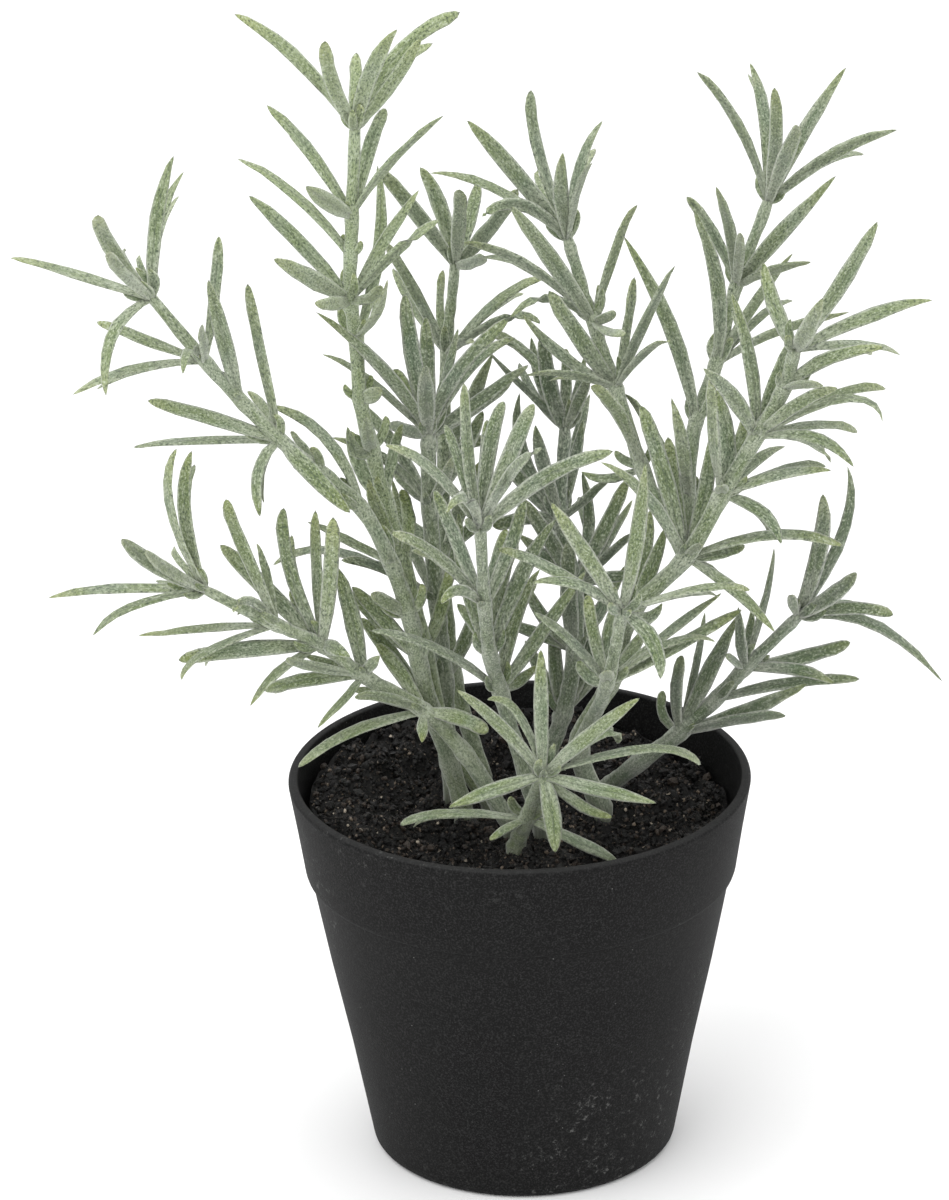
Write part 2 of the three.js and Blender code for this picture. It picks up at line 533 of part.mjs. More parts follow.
// Where the plant's pieces run: points with a radius, and the branch that each belongs to.
const taken = [];

function stemPath(nodes, start) {
  const points = [...nodes.map((node) => place(...node)), start].reverse();
  return new THREE.CatmullRomCurve3(points, false, 'centripetal');
}

// Where a stem has its rings, from 0 to 1: at every node, and between nodes far apart.
function ringPlaces({ points }) {
  const spans = points.length - 1;
  const places = [0];
  for (let i = 0; i < spans; i += 1) {
    const parts = Math.ceil(points[i].distanceTo(points[i + 1]) / STEM_STEP);
    for (let part = 1; part <= parts; part += 1) {
      places.push((i + part / parts) / spans);
    }
  }
  return places;
}

function stemSolid(path, radii) {
  const front = new THREE.Vector3(0, -1, 0);
  const rings = ringPlaces(path).map((along) => {
    const centre = path.getPoint(along);
    const side = new THREE.Vector3().crossVectors(path.getTangent(along), front).normalize();
    const forward = new THREE.Vector3().crossVectors(side, path.getTangent(along));
    const radius = THREE.MathUtils.lerp(radii[1], radii[0], along) * (along === 1 ? 0.8 : 1);
    return Array.from({ length: STEM_SIDES }, (_, j) => {
      const angle = (2 * Math.PI * j) / STEM_SIDES;
      return centre.clone()
        .addScaledVector(side, Math.cos(angle) * radius)
        .addScaledVector(forward, -Math.sin(angle) * radius);
    });
  });
  return loft(rings, path.getPoint(1).addScaledVector(path.getTangent(1), BUD_LENGTH));
}

// A blade on a curve: a keeled three-sided section that widens from the stem and comes to a
// point. It shows `seen` of its width to the front, and its upper side faces the stem's tip.
const BLADE_RINGS = [[0.015, 0.5], [0.4, 1.04], [0.82, 0.94]];
const FAR_RINGS = [[0.015, 0.5], [0.6, 1.1]];

function bladeSection(blade, along, share) {
  const { curve, width, facing, thick, stemUp } = blade;
  const centre = curve.getPoint(along);
  const tangent = curve.getTangent(along);
  const sight = centre.clone().sub(eye).normalize();
  const across = new THREE.Vector3().crossVectors(tangent, sight).normalize();
  const deep = new THREE.Vector3().crossVectors(across, tangent);
  const lean = across.dot(blade.hinge) * deep.dot(blade.hinge) < 0 ? -1 : 1;
  const side = across.multiplyScalar(facing)
    .addScaledVector(deep, lean * Math.sqrt(1 - facing * facing));
  const normal = new THREE.Vector3().crossVectors(side, tangent);
  if (normal.dot(stemUp) < 0) {
    side.negate();
    normal.negate();
  }
  return {
    centre,
    side: side.multiplyScalar(0.5 * width * share),
    normal: normal.multiplyScalar(0.5 * Math.max(LEAF_MIN_THICKNESS, thick * share)),
  };
}

// The hinge is the level line at right angles to the stem and the leaf, about which the leaf
// stands away from the stem.
function blade(curve, seen, stemUp) {
  const chord = curve.getPoint(1).sub(curve.getPoint(0));
  const width = Math.max(seen, Math.min(LEAF_WIDTH, 1.2 + 0.07 * chord.length()));
  return {
    curve,
    stemUp,
    width,
    facing: Math.min(1, seen / width),
    thick: Math.max(LEAF_MIN_THICKNESS, LEAF_THICKNESS * width),
    hinge: new THREE.Vector3().crossVectors(chord, stemUp).normalize(),
  };
}

function bladeSolid(leaf) {
  const rings = (leaf.rings ?? BLADE_RINGS).map(([along, share]) => {
    const { centre, side, normal } = bladeSection(leaf, along, share);
    return [
      centre.clone().add(side).sub(normal),
      centre.clone().sub(side).sub(normal),
      centre.clone().add(normal),
    ];
  });
  return loft(rings, leaf.curve.getPoint(1));
}

// A curve from the node to the tip that passes through the middle point.
function bend(root, middle, tip) {
  const pull = middle.clone().multiplyScalar(2).addScaledVector(root, -0.5).addScaledVector(tip, -0.5);
  return new THREE.QuadraticBezierCurve3(root, pull, tip);
}

// The height of the soil, without its lumps. A bank of it lies against the left and back wall.
function soilLevel(x, y) {
  const out = Math.hypot(x, y);
  const side = (0.64 * y - 0.77 * x) / Math.max(out, 1);
  const { smoothstep } = THREE.MathUtils;
  return SOIL_TOP + SOIL_BANK * smoothstep(out, 19, 34) * smoothstep(side, -0.3, 0.6);
}

// The walls and the soil that a leaf has to pass over.
function clearsPot(point) {
  const out = Math.hypot(point.x, point.y);
  if (out < RIM_RADIUS - 4.5) {
    return point.z > soilLevel(point.x, point.y) + 1.8;
  }
  return point.z > POT_HEIGHT + 1.8 || out > RIM_RADIUS + 2.5;
}

// Points spread over a blade, each with the radius that it stands for.
function footprint(leaf, from) {
  const points = [];
  for (let i = 0; i <= SAMPLES; i += 1) {
    const along = i / SAMPLES;
    if (along >= from) {
      const share = Math.min(1, 0.5 + 1.5 * along, 3.2 * (1.08 - along));
      const { centre, side } = bladeSection(leaf, along, share);
      const radius = 0.33 * side.length() + 0.2;
      points.push(
        { point: centre, radius, along },
        { point: centre.clone().addScaledVector(side, 0.66), radius, along },
        { point: centre.clone().addScaledVector(side, -0.66), radius, along },
      );
    }
  }
  return points;
}

function clears(leaf, branch, ownToo) {
  for (const { point, radius, along } of footprint(leaf, 0.1)) {
    if (along > OWN_ROOT && !clearsPot(point)) {
      return false;
    }
    for (const other of taken) {
      if (other.branch !== branch || (ownToo && along > OWN_ROOT)) {
        const reach = radius + other.radius + CLEARANCE;
        if (point.distanceToSquared(other.point) < reach * reach) {
          return false;
        }
      }
    }
  }
  return true;
}

// The listed leaf, or that leaf a little further forward or back, where there is room.
function fitLeaf(row, node, stemUp, branch) {
  const [tipAcross, tipUp, behind, midAcross, midUp, seen] = row;
  for (const ownToo of [true, false]) {
    for (const step of DEPTH_STEPS) {
      const depth = behind + step;
      const curve = bend(place(...node), place(midAcross, midUp, node[2] + 0.55 * depth),
        place(tipAcross, tipUp, node[2] + depth));
      const leaf = blade(curve, seen, stemUp);
      if (clears(leaf, branch, ownToo)) {
        return leaf;
      }
    }
  }
  return null;
}

// A leaf on the far side of a whorl. Seen from the front, it hides behind a listed leaf.
function farLeaf(node, rows, stemUp, random, branch) {
  for (let attempt = 0; attempt < BACK_TRIES; attempt += 1) {
    const [tipAcross, tipUp, behind, midAcross, midUp, seen] = rows[Math.floor(rows.length * random())];
    const reach = THREE.MathUtils.lerp(...BACK_REACH, random());
    const depth = Math.max(0, behind) + THREE.MathUtils.lerp(...BACK_DEPTH, random());
    const beyond = (across, up, share) => place(node[0] + reach * (across - node[0]),
      node[1] + reach * (up - node[1]), node[2] + share * depth);
    const curve = bend(place(...node), beyond(midAcross, midUp, 0.55), beyond(tipAcross, tipUp, 1));
    const leaf = blade(curve, BACK_WIDTH * seen, stemUp);
    if (clears(leaf, branch, true)) {
      return { ...leaf, rings: FAR_RINGS };
    }
  }
  return null;
}

// A branch's stem and its arms, as curves with their radii.
function stemsOf(branch) {
  const nodes = branch.whorls.map(([node]) => node);
  const foot = new THREE.Vector3(...branch.foot, SOIL_TOP + 2);
  const stems = [{ path: stemPath(nodes, foot), radii: branch.radii }];
  for (const arm of branch.arms ?? []) {
    const joint = place(...nodes[arm.joins]);
    const armNodes = arm.whorls.map(([node]) => node);
    stems.push({ path: stemPath(armNodes, joint), radii: arm.radii });
  }
  return stems;
}

function takeStems() {
  for (const branch of BRANCHES) {
    for (const { path, radii } of stemsOf(branch)) {
      for (let i = 0; i <= STEM_SAMPLES; i += 1) {
        const point = path.getPoint(i / STEM_SAMPLES);
        taken.push({ point, radius: radii[1], branch: branch.name });
      }
    }
  }
}

// The direction in which the stem grows at each whorl of a list.
function growth(whorls, i) {
  const above = place(...(whorls[i - 1] ?? whorls[i])[0]);
  const below = place(...(whorls[i + 1] ?? whorls[i])[0]);
  return above.sub(below).normalize();
}

function leavesOf(branch, random) {
  const leaves = [];
  const keep = (leaf) => {
    if (leaf) {
      leaves.push(leaf);
      for (const { point, radius } of footprint(leaf, 0.15)) {
        taken.push({ point, radius, branch: branch.name });
      }
    }
  };
  const lists = [branch, ...(branch.arms ?? [])].map(({ whorls }) => whorls);
  for (const whorls of lists) {
    whorls.forEach(([node, rows], i) => rows.forEach((row) => {
      keep(fitLeaf(row, node, growth(whorls, i), branch.name));
    }));
  }
  for (const whorls of lists) {
    whorls.forEach(([node, rows], i) => {
      const most = i === 0 ? MOST_AT_TIP : MOST_AT_BACK;
      const missing = Math.min(most, Math.round(BACK_SHARE * rows.length));
      for (let n = 0; n < missing; n += 1) {
        keep(farLeaf(node, rows, growth(whorls, i), random, branch.name));
      }
    });
  }
  return leaves;
}

function plugOf(branch, grow) {
  const radius = branch.radii[1] * 1.1 + grow;
  const height = ROOT_DEPTH + 3 + grow;
  const plug = new THREE.CylinderGeometry(radius, radius, height, 8);
  plug.rotateX(Math.PI / 2);
  plug.translate(branch.foot[0], branch.foot[1], SOIL_TOP + 3 - 0.5 * height);
  return toSolid(plug);
}

function branchSolid(branch, leaves) {
  let solid = plugOf(branch, 0);
  for (const { path, radii } of stemsOf(branch)) {
    solid = solid.add(stemSolid(path, radii));
  }
  for (const leaf of leaves) {
    solid = solid.add(bladeSolid(leaf));
  }
  return outside(solid);
}

// ---------------------------------------------------------------- pot and soil

const COLLAR_FOOT = POT_HEIGHT - COLLAR_HEIGHT;
const INNER_RIM = RIM_RADIUS - WALL;
const INNER_COLLAR = COLLAR_FOOT_RADIUS - WALL;
const INNER_BODY = BODY_TOP_RADIUS - WALL;
const INNER_BASE = BASE_RADIUS - WALL + 0.4;

function lathe(outline, segments) {
  const points = outline.map(([r, z]) => new THREE.Vector2(r, z));
  const geometry = new THREE.LatheGeometry(points, segments);
  geometry.rotateX(Math.PI / 2);
  return geometry;
}

function potSolid() {
  const outline = [
    [0, 0], [BASE_RADIUS - 2, 0], [BASE_RADIUS - 0.7, 0.5], [BASE_RADIUS, 2],
    [BODY_TOP_RADIUS, COLLAR_FOOT - 0.4], [COLLAR_FOOT_RADIUS - 0.3, COLLAR_FOOT],
    [COLLAR_FOOT_RADIUS, COLLAR_FOOT + 0.6],
    [RIM_RADIUS, POT_HEIGHT - 0.7], [RIM_RADIUS - 0.5, POT_HEIGHT],
    [INNER_RIM + 0.4, POT_HEIGHT], [INNER_RIM, POT_HEIGHT - 0.5],
    [INNER_COLLAR, COLLAR_FOOT], [INNER_BODY, COLLAR_FOOT - WALL],
    [INNER_BASE, FLOOR + 1], [INNER_BASE - 1, FLOOR], [0, FLOOR],
  ];
  let pot = toSolid(lathe(outline, 36));
  for (let i = 0; i < DRAIN_COUNT; i += 1) {
    const angle = (2 * Math.PI * (i + 0.5)) / DRAIN_COUNT;
    const drain = new THREE.CylinderGeometry(DRAIN_RADIUS, DRAIN_RADIUS, 4 * FLOOR, 10);
    drain.rotateX(Math.PI / 2);
    drain.translate(DRAIN_CIRCLE * Math.cos(angle), DRAIN_CIRCLE * Math.sin(angle), 0);
    pot = pot.subtract(toSolid(drain));
  }
  return outside(pot);
}

function soilRelief(x, y) {
  return SOIL_RELIEF * (Math.sin(0.31 * x + 0.8) * Math.cos(0.27 * y - 0.5)
    + 0.5 * Math.sin(0.62 * x - 0.45 * y));
}

function soilSolid() {
  const wallShare = (SOIL_TOP - COLLAR_FOOT) / (POT_HEIGHT - 0.5 - COLLAR_FOOT);
  const edge = THREE.MathUtils.lerp(INNER_COLLAR, INNER_RIM, wallShare) - 2 * GAP;
  const rings = Array.from({ length: 5 }, (_, i) => [edge * (1 - i / 4), SOIL_TOP]);
  const outline = [
    [0, FLOOR + GAP], [INNER_BASE - 2, FLOOR + GAP],
    [INNER_BODY - 2 * GAP, COLLAR_FOOT - WALL - GAP], [edge, SOIL_TOP - 2.5], ...rings,
  ];
  const geometry = lathe(outline, 24);
  const points = geometry.attributes.position;
  for (let i = 0; i < points.count; i += 1) {
    if (points.getZ(i) > SOIL_TOP - 0.5) {
      const [x, y] = [points.getX(i), points.getY(i)];
      points.setZ(i, soilLevel(x, y) + soilRelief(x, y));
    }
  }
  let soil = toSolid(geometry);
  for (const branch of BRANCHES) {
    soil = soil.subtract(plugOf(branch, GAP));
  }
  return outside(soil);
}

// ---------------------------------------------------------------- the plant

const plasticBlack = new THREE.MeshStandardMaterial({ color: 0x2b2b2c, roughness: 0.7, metalness: 0 });
const soilDark = new THREE.MeshStandardMaterial({ color: 0x1d1916, roughness: 1, metalness: 0 });
const feltGreen = new THREE.MeshStandardMaterial({ color: 0x7d8f73, roughness: 0.95, metalness: 0 });

const plant = new THREE.Group();

function add(name, solid, material) {
  const mesh = new THREE.Mesh(toGeometry(solid), material.clone());
  mesh.name = name;
  plant.add(mesh);
}

add('pot', potSolid(), plasticBlack);
add('soil', soilSolid(), soilDark);
takeStems();
const random = lcg(4202);
for (const branch of BRANCHES) {
  add(branch.name, branchSolid(branch, leavesOf(branch, random)), feltGreen);
}

export default plant;
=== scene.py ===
# %% [markdown]
# # A lavender plant in a nine-centimetre pot
# The plant is a handful of woolly stems that stand in dark soil. Each stem carries whorls
# of narrow leaves, rolled under at their edges and covered with short grey felt. The pot
# is one thin moulding of matt black plastic.
#
# The solid model already holds the sizes and the place of every branch. This lesson gives
# each of its pieces a finer form and a finish: first the pot, then the soil with its
# crumbs, then the stems and leaves, and last the light and the camera.

import math
from contextlib import contextmanager

import bpy
import numpy as np
from mathutils import Matrix, Vector, noise


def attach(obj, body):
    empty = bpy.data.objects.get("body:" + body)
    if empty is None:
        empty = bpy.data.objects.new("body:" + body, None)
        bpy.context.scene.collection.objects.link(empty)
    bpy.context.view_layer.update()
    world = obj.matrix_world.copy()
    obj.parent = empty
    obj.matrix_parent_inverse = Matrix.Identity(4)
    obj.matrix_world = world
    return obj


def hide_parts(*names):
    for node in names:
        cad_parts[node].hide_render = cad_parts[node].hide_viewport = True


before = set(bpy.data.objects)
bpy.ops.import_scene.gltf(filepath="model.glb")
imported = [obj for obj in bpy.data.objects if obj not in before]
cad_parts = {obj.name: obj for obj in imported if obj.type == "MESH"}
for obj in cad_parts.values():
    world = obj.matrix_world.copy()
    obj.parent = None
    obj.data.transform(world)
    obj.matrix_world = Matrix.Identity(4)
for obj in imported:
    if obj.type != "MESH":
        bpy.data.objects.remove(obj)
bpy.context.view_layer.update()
print("solid pieces:", sorted(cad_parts))

# %% [markdown]
# ## Small helpers
# Operators act on whatever is selected, and the frame arrives selected. So every new piece
# starts from an empty selection, and faces are picked in code by where they are. Sizes are
# written in millimetres, as on a drawing, and turned into metres where they are used.

# %% Selecting, editing and finishing a piece
MM = 0.001


def start_piece(name, add, **settings):
    """Adds a primitive with nothing else selected, names it and opens it for editing."""
    bpy.ops.object.select_all(action="DESELECT")
    add(**settings)
    piece = bpy.context.object
    piece.name = name
    piece.data.name = name
    bpy.ops.object.mode_set(mode="EDIT")
    return piece


@contextmanager
def by_hand():
    """Leaves edit mode for a while, so that single points can be picked or moved in code."""
    bpy.ops.object.mode_set(mode="OBJECT")
    yield
    bpy.ops.object.mode_set(mode="EDIT")


def select_where(piece, test):
    """In edit mode, selects the vertices whose place passes the test."""
    bpy.ops.mesh.select_mode(type="VERT")
    bpy.ops.mesh.select_all(action="DESELECT")
    with by_hand():
        for vertex in piece.data.vertices:
            vertex.select = test(vertex.co)


def close_piece():
    """Turns the faces out, leaves edit mode and brings the object's place into its mesh."""
    bpy.ops.mesh.select_all(action="SELECT")
    bpy.ops.mesh.normals_make_consistent(inside=False)
    bpy.ops.object.mode_set(mode="OBJECT")
    bpy.ops.object.transform_apply(location=True, rotation=True, scale=True)
    bpy.ops.object.shade_smooth()


def hand_over(piece, slot, *nodes):
    """The piece rides on the root body and stands for its solid nodes. The slot is not used."""
    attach(piece, "root")
    if nodes:
        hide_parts(*nodes)
    faces = len(piece.data.polygons)
    low, high = np.array(piece.bound_box).min(0), np.array(piece.bound_box).max(0)
    print(f"{piece.name}: {faces} faces, {np.round((high - low) / MM, 1)} mm")


print("helpers ready")

# %% [markdown]
# ## Materials as sums
# A material is a small calculation that runs at every point of a surface. Written as node
# boxes it soon becomes hard to read, so one class wraps a socket: adding or multiplying
# two wrapped sockets makes the Math node that does it. A second class is the finish
# itself. It makes any other kind of node and sets the shader's plain numbers.

# %% A socket that can be added and multiplied, and a finish
def operation(kind, swapped=False):
    """A method that feeds the wire and another value to a Math node of that kind."""
    def method(self, other):
        node = self.tree.nodes.new("ShaderNodeMath")
        node.operation = kind
        for socket, value in zip(node.inputs, (other, self) if swapped else (self, other)):
            plug(self.tree, socket, value)
        return Wire(self.tree, node.outputs[0])
    return method


class Wire:
    def __init__(self, tree, socket):
        self.tree = tree
        self.socket = socket

    __add__ = __radd__ = operation("ADD")
    __mul__ = __rmul__ = operation("MULTIPLY")
    __sub__ = operation("SUBTRACT")
    __rsub__ = operation("SUBTRACT", swapped=True)
    most = operation("MAXIMUM")
    least = operation("MINIMUM")


def plug(tree, socket, value):
    """Links a wire into a socket, or sets the socket to a plain value."""
    if isinstance(value, Wire):
        tree.links.new(value.socket, socket)
    else:
        socket.default_value = value


class Finish:
    def __init__(self, name, **numbers):
        self.material = bpy.data.materials.new(name)
        self.material.use_nodes = True
        self.tree = self.material.node_tree
        self.shader = self.tree.nodes["Principled BSDF"]
        for socket, value in numbers.items():
            self.shader.inputs[socket.replace("_", " ")].default_value = value

    def node(self, kind, settings, inputs, output=0):
        """Any node: its settings first, then the values or wires of its sockets."""
        node = self.tree.nodes.new(kind)
        for setting, value in settings.items():
            setattr(node, setting, value)
        for socket, value in inputs.items():
            plug(self.tree, node.inputs[socket], value)
        return Wire(self.tree, node.outputs[output])

    def place(self):
        return self.node("ShaderNodeTexCoord", {}, {}, "Object")

    def height(self):
        return self.node("ShaderNodeSeparateXYZ", {}, {"Vector": self.place()}, 2)

    def stretched(self, where, stretch):
        return self.node("ShaderNodeMapping", {}, {"Vector": where, "Scale": stretch})

    def mark(self, name):
        """A number that the mesh carries at each of its points."""
        return self.node("ShaderNodeAttribute", {"attribute_name": name}, {}, "Fac")

    def grain(self, size_mm, detail=2, rough=0.5, stretch=(1, 1, 1), where=None):
        """Soft noise from 0 to 1 whose lumps are about that many millimetres across."""
        inputs = {"Vector": self.stretched(where or self.place(), stretch),
                  "Scale": 0.5 / (size_mm * MM), "Detail": detail, "Roughness": rough}
        return self.node("ShaderNodeTexNoise", {}, inputs, "Fac")

    def spots(self, size_mm, radius, stretch=(1, 1, 1)):
        """1 in the middle of many scattered spots, and 0 beyond their radius."""
        inputs = {"Vector": self.stretched(self.place(), stretch), "Scale": 1 / (size_mm * MM)}
        away = self.node("ShaderNodeTexVoronoi", {}, inputs, "Distance")
        return self.step(away, 0.0, radius, 1, 0)

    def step(self, value, low, high, first=0.0, last=1.0):
        """Goes smoothly from first to last as the value goes from low to high."""
        inputs = {"Value": value, "From Min": low, "From Max": high, "To Min": first,
                  "To Max": last}
        return self.node("ShaderNodeMapRange", {"interpolation_type": "SMOOTHSTEP"}, inputs)

    def patches(self, size_mm, low, high, least=0.0, detail=1):
        """Soft patches about that many millimetres across, from the least value up to 1."""
        return self.step(self.grain(size_mm, detail=detail), low, high, least)

    def mix(self, share, first, second):
        """From the first colour to the second as the share goes from 0 to 1."""
        inputs = {0: share, 6: colour(first), 7: colour(second)}
        return self.node("ShaderNodeMix", {"data_type": "RGBA"}, inputs, 2)

    def bump(self, height, depth_mm, normal=None):
        inputs = {"Strength": 1.0, "Distance": depth_mm * MM, "Height": height}
        if normal:
            inputs["Normal"] = normal
        return self.node("ShaderNodeBump", {}, inputs)

    def paint(self, **wires):
        """Feeds the shader's sockets that change over the surface."""
        for socket, wire in wires.items():
            plug(self.tree, self.shader.inputs[socket.replace("_", " ")], wire)
        return self.material


def colour(value):
    """A wire as it is, three numbers as a colour, and one number as a grey."""
    return value if isinstance(value, Wire) else (*np.broadcast_to(value, 3), 1.0)


print("shader words ready")

# %% [markdown]
# ## The pot
# The real pot is injection moulded: a tapered body, a thicker collar under a rounded rim
# and four drain holes. It could be a cylinder that is inset and extruded, but a turned
# form is drawn most surely as half of its section. So the points of a circle are moved
# onto the section, and the section is spun round the pot's axis.

# %% The section of the pot, in millimetres
RIM_RADIUS = 45
POT_HEIGHT = 77.8
COLLAR_FOOT = 58.4
FLOOR = 2.4
DRAIN_RADIUS = 3
DRAIN_CIRCLE = 19
DRAIN_COUNT = 4
DRAIN_SIDES = 32
PEG_LENGTH = 8
SPIN_STEPS = 160
AXIS_WIDTH = 1e-6
SHARP_EDGE = math.radians(40)


def arc(across, up, radius, start, end, count):
    """Points on a round corner, from one angle in degrees to another."""
    angles = np.radians(np.linspace(start, end, count))
    return [(across + radius * math.cos(a), up + radius * math.sin(a)) for a in angles]


pot_section = [
    (0, 0), (14, 0), *arc(28, 2, 2, -90, -10, 6),
    (33.8, 22), (37.6, 40), (41.05, 57.8), (41.2, 58.15), (41.65, 58.35), (41.95, 58.6),
    (42.15, 59.2), (43.5, 68), *arc(44.2, 77, 0.8, -8, 90, 7),
    *arc(43.6, 77.35, 0.45, 90, 172, 5), (41.7, 68), (40.2, COLLAR_FOOT), (39.3, 56.4),
    (36, 41), (28.7, 4), (28, 2.8), (26.8, FLOOR), (0, FLOOR),
]
print(len(pot_section), "points on the section")

# %% A circle's points are moved onto the section, which is spun
pot = start_piece("pot_shell", bpy.ops.mesh.primitive_circle_add,
                  vertices=len(pot_section), radius=0.01)
with by_hand():
    for vertex, (out, up) in zip(pot.data.vertices, pot_section):
        vertex.co = (out * MM, 0, up * MM)
select_where(pot, lambda place: place.x < AXIS_WIDTH)
bpy.ops.mesh.delete(type="EDGE_FACE")
bpy.ops.mesh.select_all(action="SELECT")
bpy.ops.mesh.spin(steps=SPIN_STEPS, angle=math.tau, center=(0, 0, 0), axis=(0, 0, 1))
bpy.ops.mesh.select_all(action="SELECT")
bpy.ops.mesh.remove_doubles(threshold=AXIS_WIDTH)
close_piece()
print("pot spun:", len(pot.data.vertices), "points")

# %% The drain holes are cut with four pegs
for number in range(DRAIN_COUNT):
    angle = math.tau * (number + 0.5) / DRAIN_COUNT
    middle = (DRAIN_CIRCLE * MM * math.cos(angle), DRAIN_CIRCLE * MM * math.sin(angle), 0)
    peg = start_piece("peg", bpy.ops.mesh.primitive_cylinder_add, vertices=DRAIN_SIDES,
                      radius=DRAIN_RADIUS * MM, depth=PEG_LENGTH * MM, location=middle)
    close_piece()
    cut = pot.modifiers.new("drain", "BOOLEAN")
    cut.object = peg
    cut.operation = "DIFFERENCE"
    bpy.ops.object.select_all(action="DESELECT")
    bpy.context.view_layer.objects.active = pot
    bpy.ops.object.modifier_apply(modifier=cut.name)
    bpy.data.objects.remove(peg)
bpy.context.view_layer.objects.active = pot
pot.select_set(True)
bpy.ops.object.shade_smooth_by_angle(angle=SHARP_EDGE)
hand_over(pot, "pot_plastic", "pot")

# %% [markdown]
# ## Matt black plastic
# Moulded plastic of this kind has a fine pebbled skin that takes the shine away. Handling
# leaves small pale scuffs, hair scratches and specks of dust. Some of the specks lie
# singly and some in patches. The skin is a bump, and the specks and scratches only lighten
# the colour and roughen the surface. A thin pale line along the top of the rim is a
# painted highlight.

# %% The pot's finish
plastic = Finish("matt_black_plastic", Specular_IOR_Level=0.09)
skin = plastic.grain(0.19, detail=3, rough=0.7)
clouds = plastic.grain(14, detail=3)
base = plastic.mix(clouds, 0.0040, 0.0066)
base = plastic.mix(plastic.step(skin, 0.45, 0.68, 0, 0.78), base, 0.029)
# Painted highlight: the top half millimetre of the rim is painted paler.
rim_highlight = plastic.step(plastic.height(), (POT_HEIGHT - 0.5) * MM, (POT_HEIGHT - 0.1) * MM)
base = plastic.mix(rim_highlight * 0.4, base, 0.040)
dust = plastic.spots(1.2, 0.085) * plastic.patches(2.4, 0.50, 0.62, detail=2)
dust = dust * plastic.patches(11, 0.36, 0.60, 0.35)
flecks = plastic.spots(3.4, 0.048) * plastic.patches(9, 0.36, 0.52, 0.3)
hairs = plastic.spots(2.2, 0.030, stretch=(1, 1, 0.16)) * plastic.patches(7, 0.47, 0.57)
scuffs = plastic.step(plastic.grain(0.8, detail=4, rough=0.8), 0.56, 0.72)
scuffs = scuffs * plastic.patches(22, 0.47, 0.66)
wear = (dust * 0.48 + flecks * 0.72 + hairs * 0.52 + scuffs * 0.26).least(1)
pot.data.materials.append(plastic.paint(
    Base_Color=plastic.mix(wear, base, (0.34, 0.34, 0.33)),
    Roughness=0.56 + skin * 0.14 + wear * 0.2,
    Normal=plastic.bump(skin, 0.09, plastic.bump(clouds, 0.25)),
))
print("pot finished")

# %% [markdown]
# ## The soil
# Potting mix is peat and bark, sieved coarse. Seen from a step away it is a dark, lumpy
# bed with thousands of loose crumbs on it, banked up against the left and back wall. The
# bed is a disc that is inset ring by ring, so that it has points enough to be pushed up
# and down, and its rim is extruded down inside the pot. The crumbs are one small lump,
# modelled once and scattered, and so are the chips between them, which are finer and have
# sharp corners.

# %% The bed: a disc with rings, and a rim that follows the pot down
SOIL_TOP = 68
SOIL_RELIEF = 0.7
SOIL_BANK = 5
SOIL_EDGE = 41
BANK_TOWARDS = (-0.77, 0.64)
BANK_FROM, BANK_TO = 19, 34
CLOD_HEIGHT = 2.5
GRIT_HEIGHT = 1.6
BED_SIDES = 112
BED_RINGS = 34
BED_SKIRT = [(39.4, 58.5), (38.4, 56), (26.6, 2.8)]


def smooth(value, low, high):
    """0 below the low value, 1 above the high one, and an even curve between."""
    share = np.clip((value - low) / (high - low), 0, 1)
    return share * share * (3 - 2 * share)


def soil_level(x, y):
    """The bed's level, with a bank of soil against the left and back wall."""
    out = np.hypot(x, y)
    side = (BANK_TOWARDS[0] * x + BANK_TOWARDS[1] * y) / np.maximum(out, 1)
    return SOIL_TOP + SOIL_BANK * smooth(out, BANK_FROM, BANK_TO) * smooth(side, -0.3, 0.6)


def relief(x, y):
    """The bed's height above or below its level, in millimetres."""
    broad = math.sin(0.31 * x + 0.8) * math.cos(0.27 * y - 0.5)
    ripple = 0.5 * math.sin(0.62 * x - 0.45 * y)
    clods = CLOD_HEIGHT * noise.noise(Vector((0.24 * x, 0.24 * y, 1.7)))
    grit = GRIT_HEIGHT * noise.noise(Vector((0.8 * x, 0.8 * y, 5.2)))
    return SOIL_RELIEF * (broad + ripple) + clods + grit


bed = start_piece("soil_bed", bpy.ops.mesh.primitive_circle_add, vertices=BED_SIDES,
                  radius=SOIL_EDGE * MM, fill_type="NGON", location=(0, 0, SOIL_TOP * MM))
bpy.ops.mesh.select_all(action="SELECT")
for _ in range(BED_RINGS):
    bpy.ops.mesh.inset(thickness=SOIL_EDGE / (BED_RINGS + 1) * MM)
bpy.ops.mesh.poke()
with by_hand():
    for vertex in bed.data.vertices:
        x, y = vertex.co.x / MM, vertex.co.y / MM
        vertex.co.z = (soil_level(x, y) - SOIL_TOP + relief(x, y)) * MM
select_where(bed, lambda place: math.hypot(place.x, place.y) > (SOIL_EDGE - 0.2) * MM)
for radius, level in BED_SKIRT:
    bpy.ops.mesh.extrude_edges_move()
    with by_hand():
        for vertex in bed.data.vertices:
            if vertex.select:
                flat = Vector((vertex.co.x, vertex.co.y, 0)).normalized() * radius * MM
                vertex.co = (flat.x, flat.y, (level - SOIL_TOP) * MM)
bpy.ops.mesh.edge_face_add()
close_piece()
hand_over(bed, "soil", "soil")

# %% One crumb and one chip, and thousands of copies of each
CRUMBS, CRUMB_SIZE, CRUMB_SEED = 9600, 0.35, 31
CHIPS, CHIP_SIZE, CHIP_SEED = 20000, 0.24, 32
SIZE_SPREAD = 0.45
SMALLEST, LARGEST = 0.16, 1.25
EDGE_GAP = 0.6
LIFT = 0.25


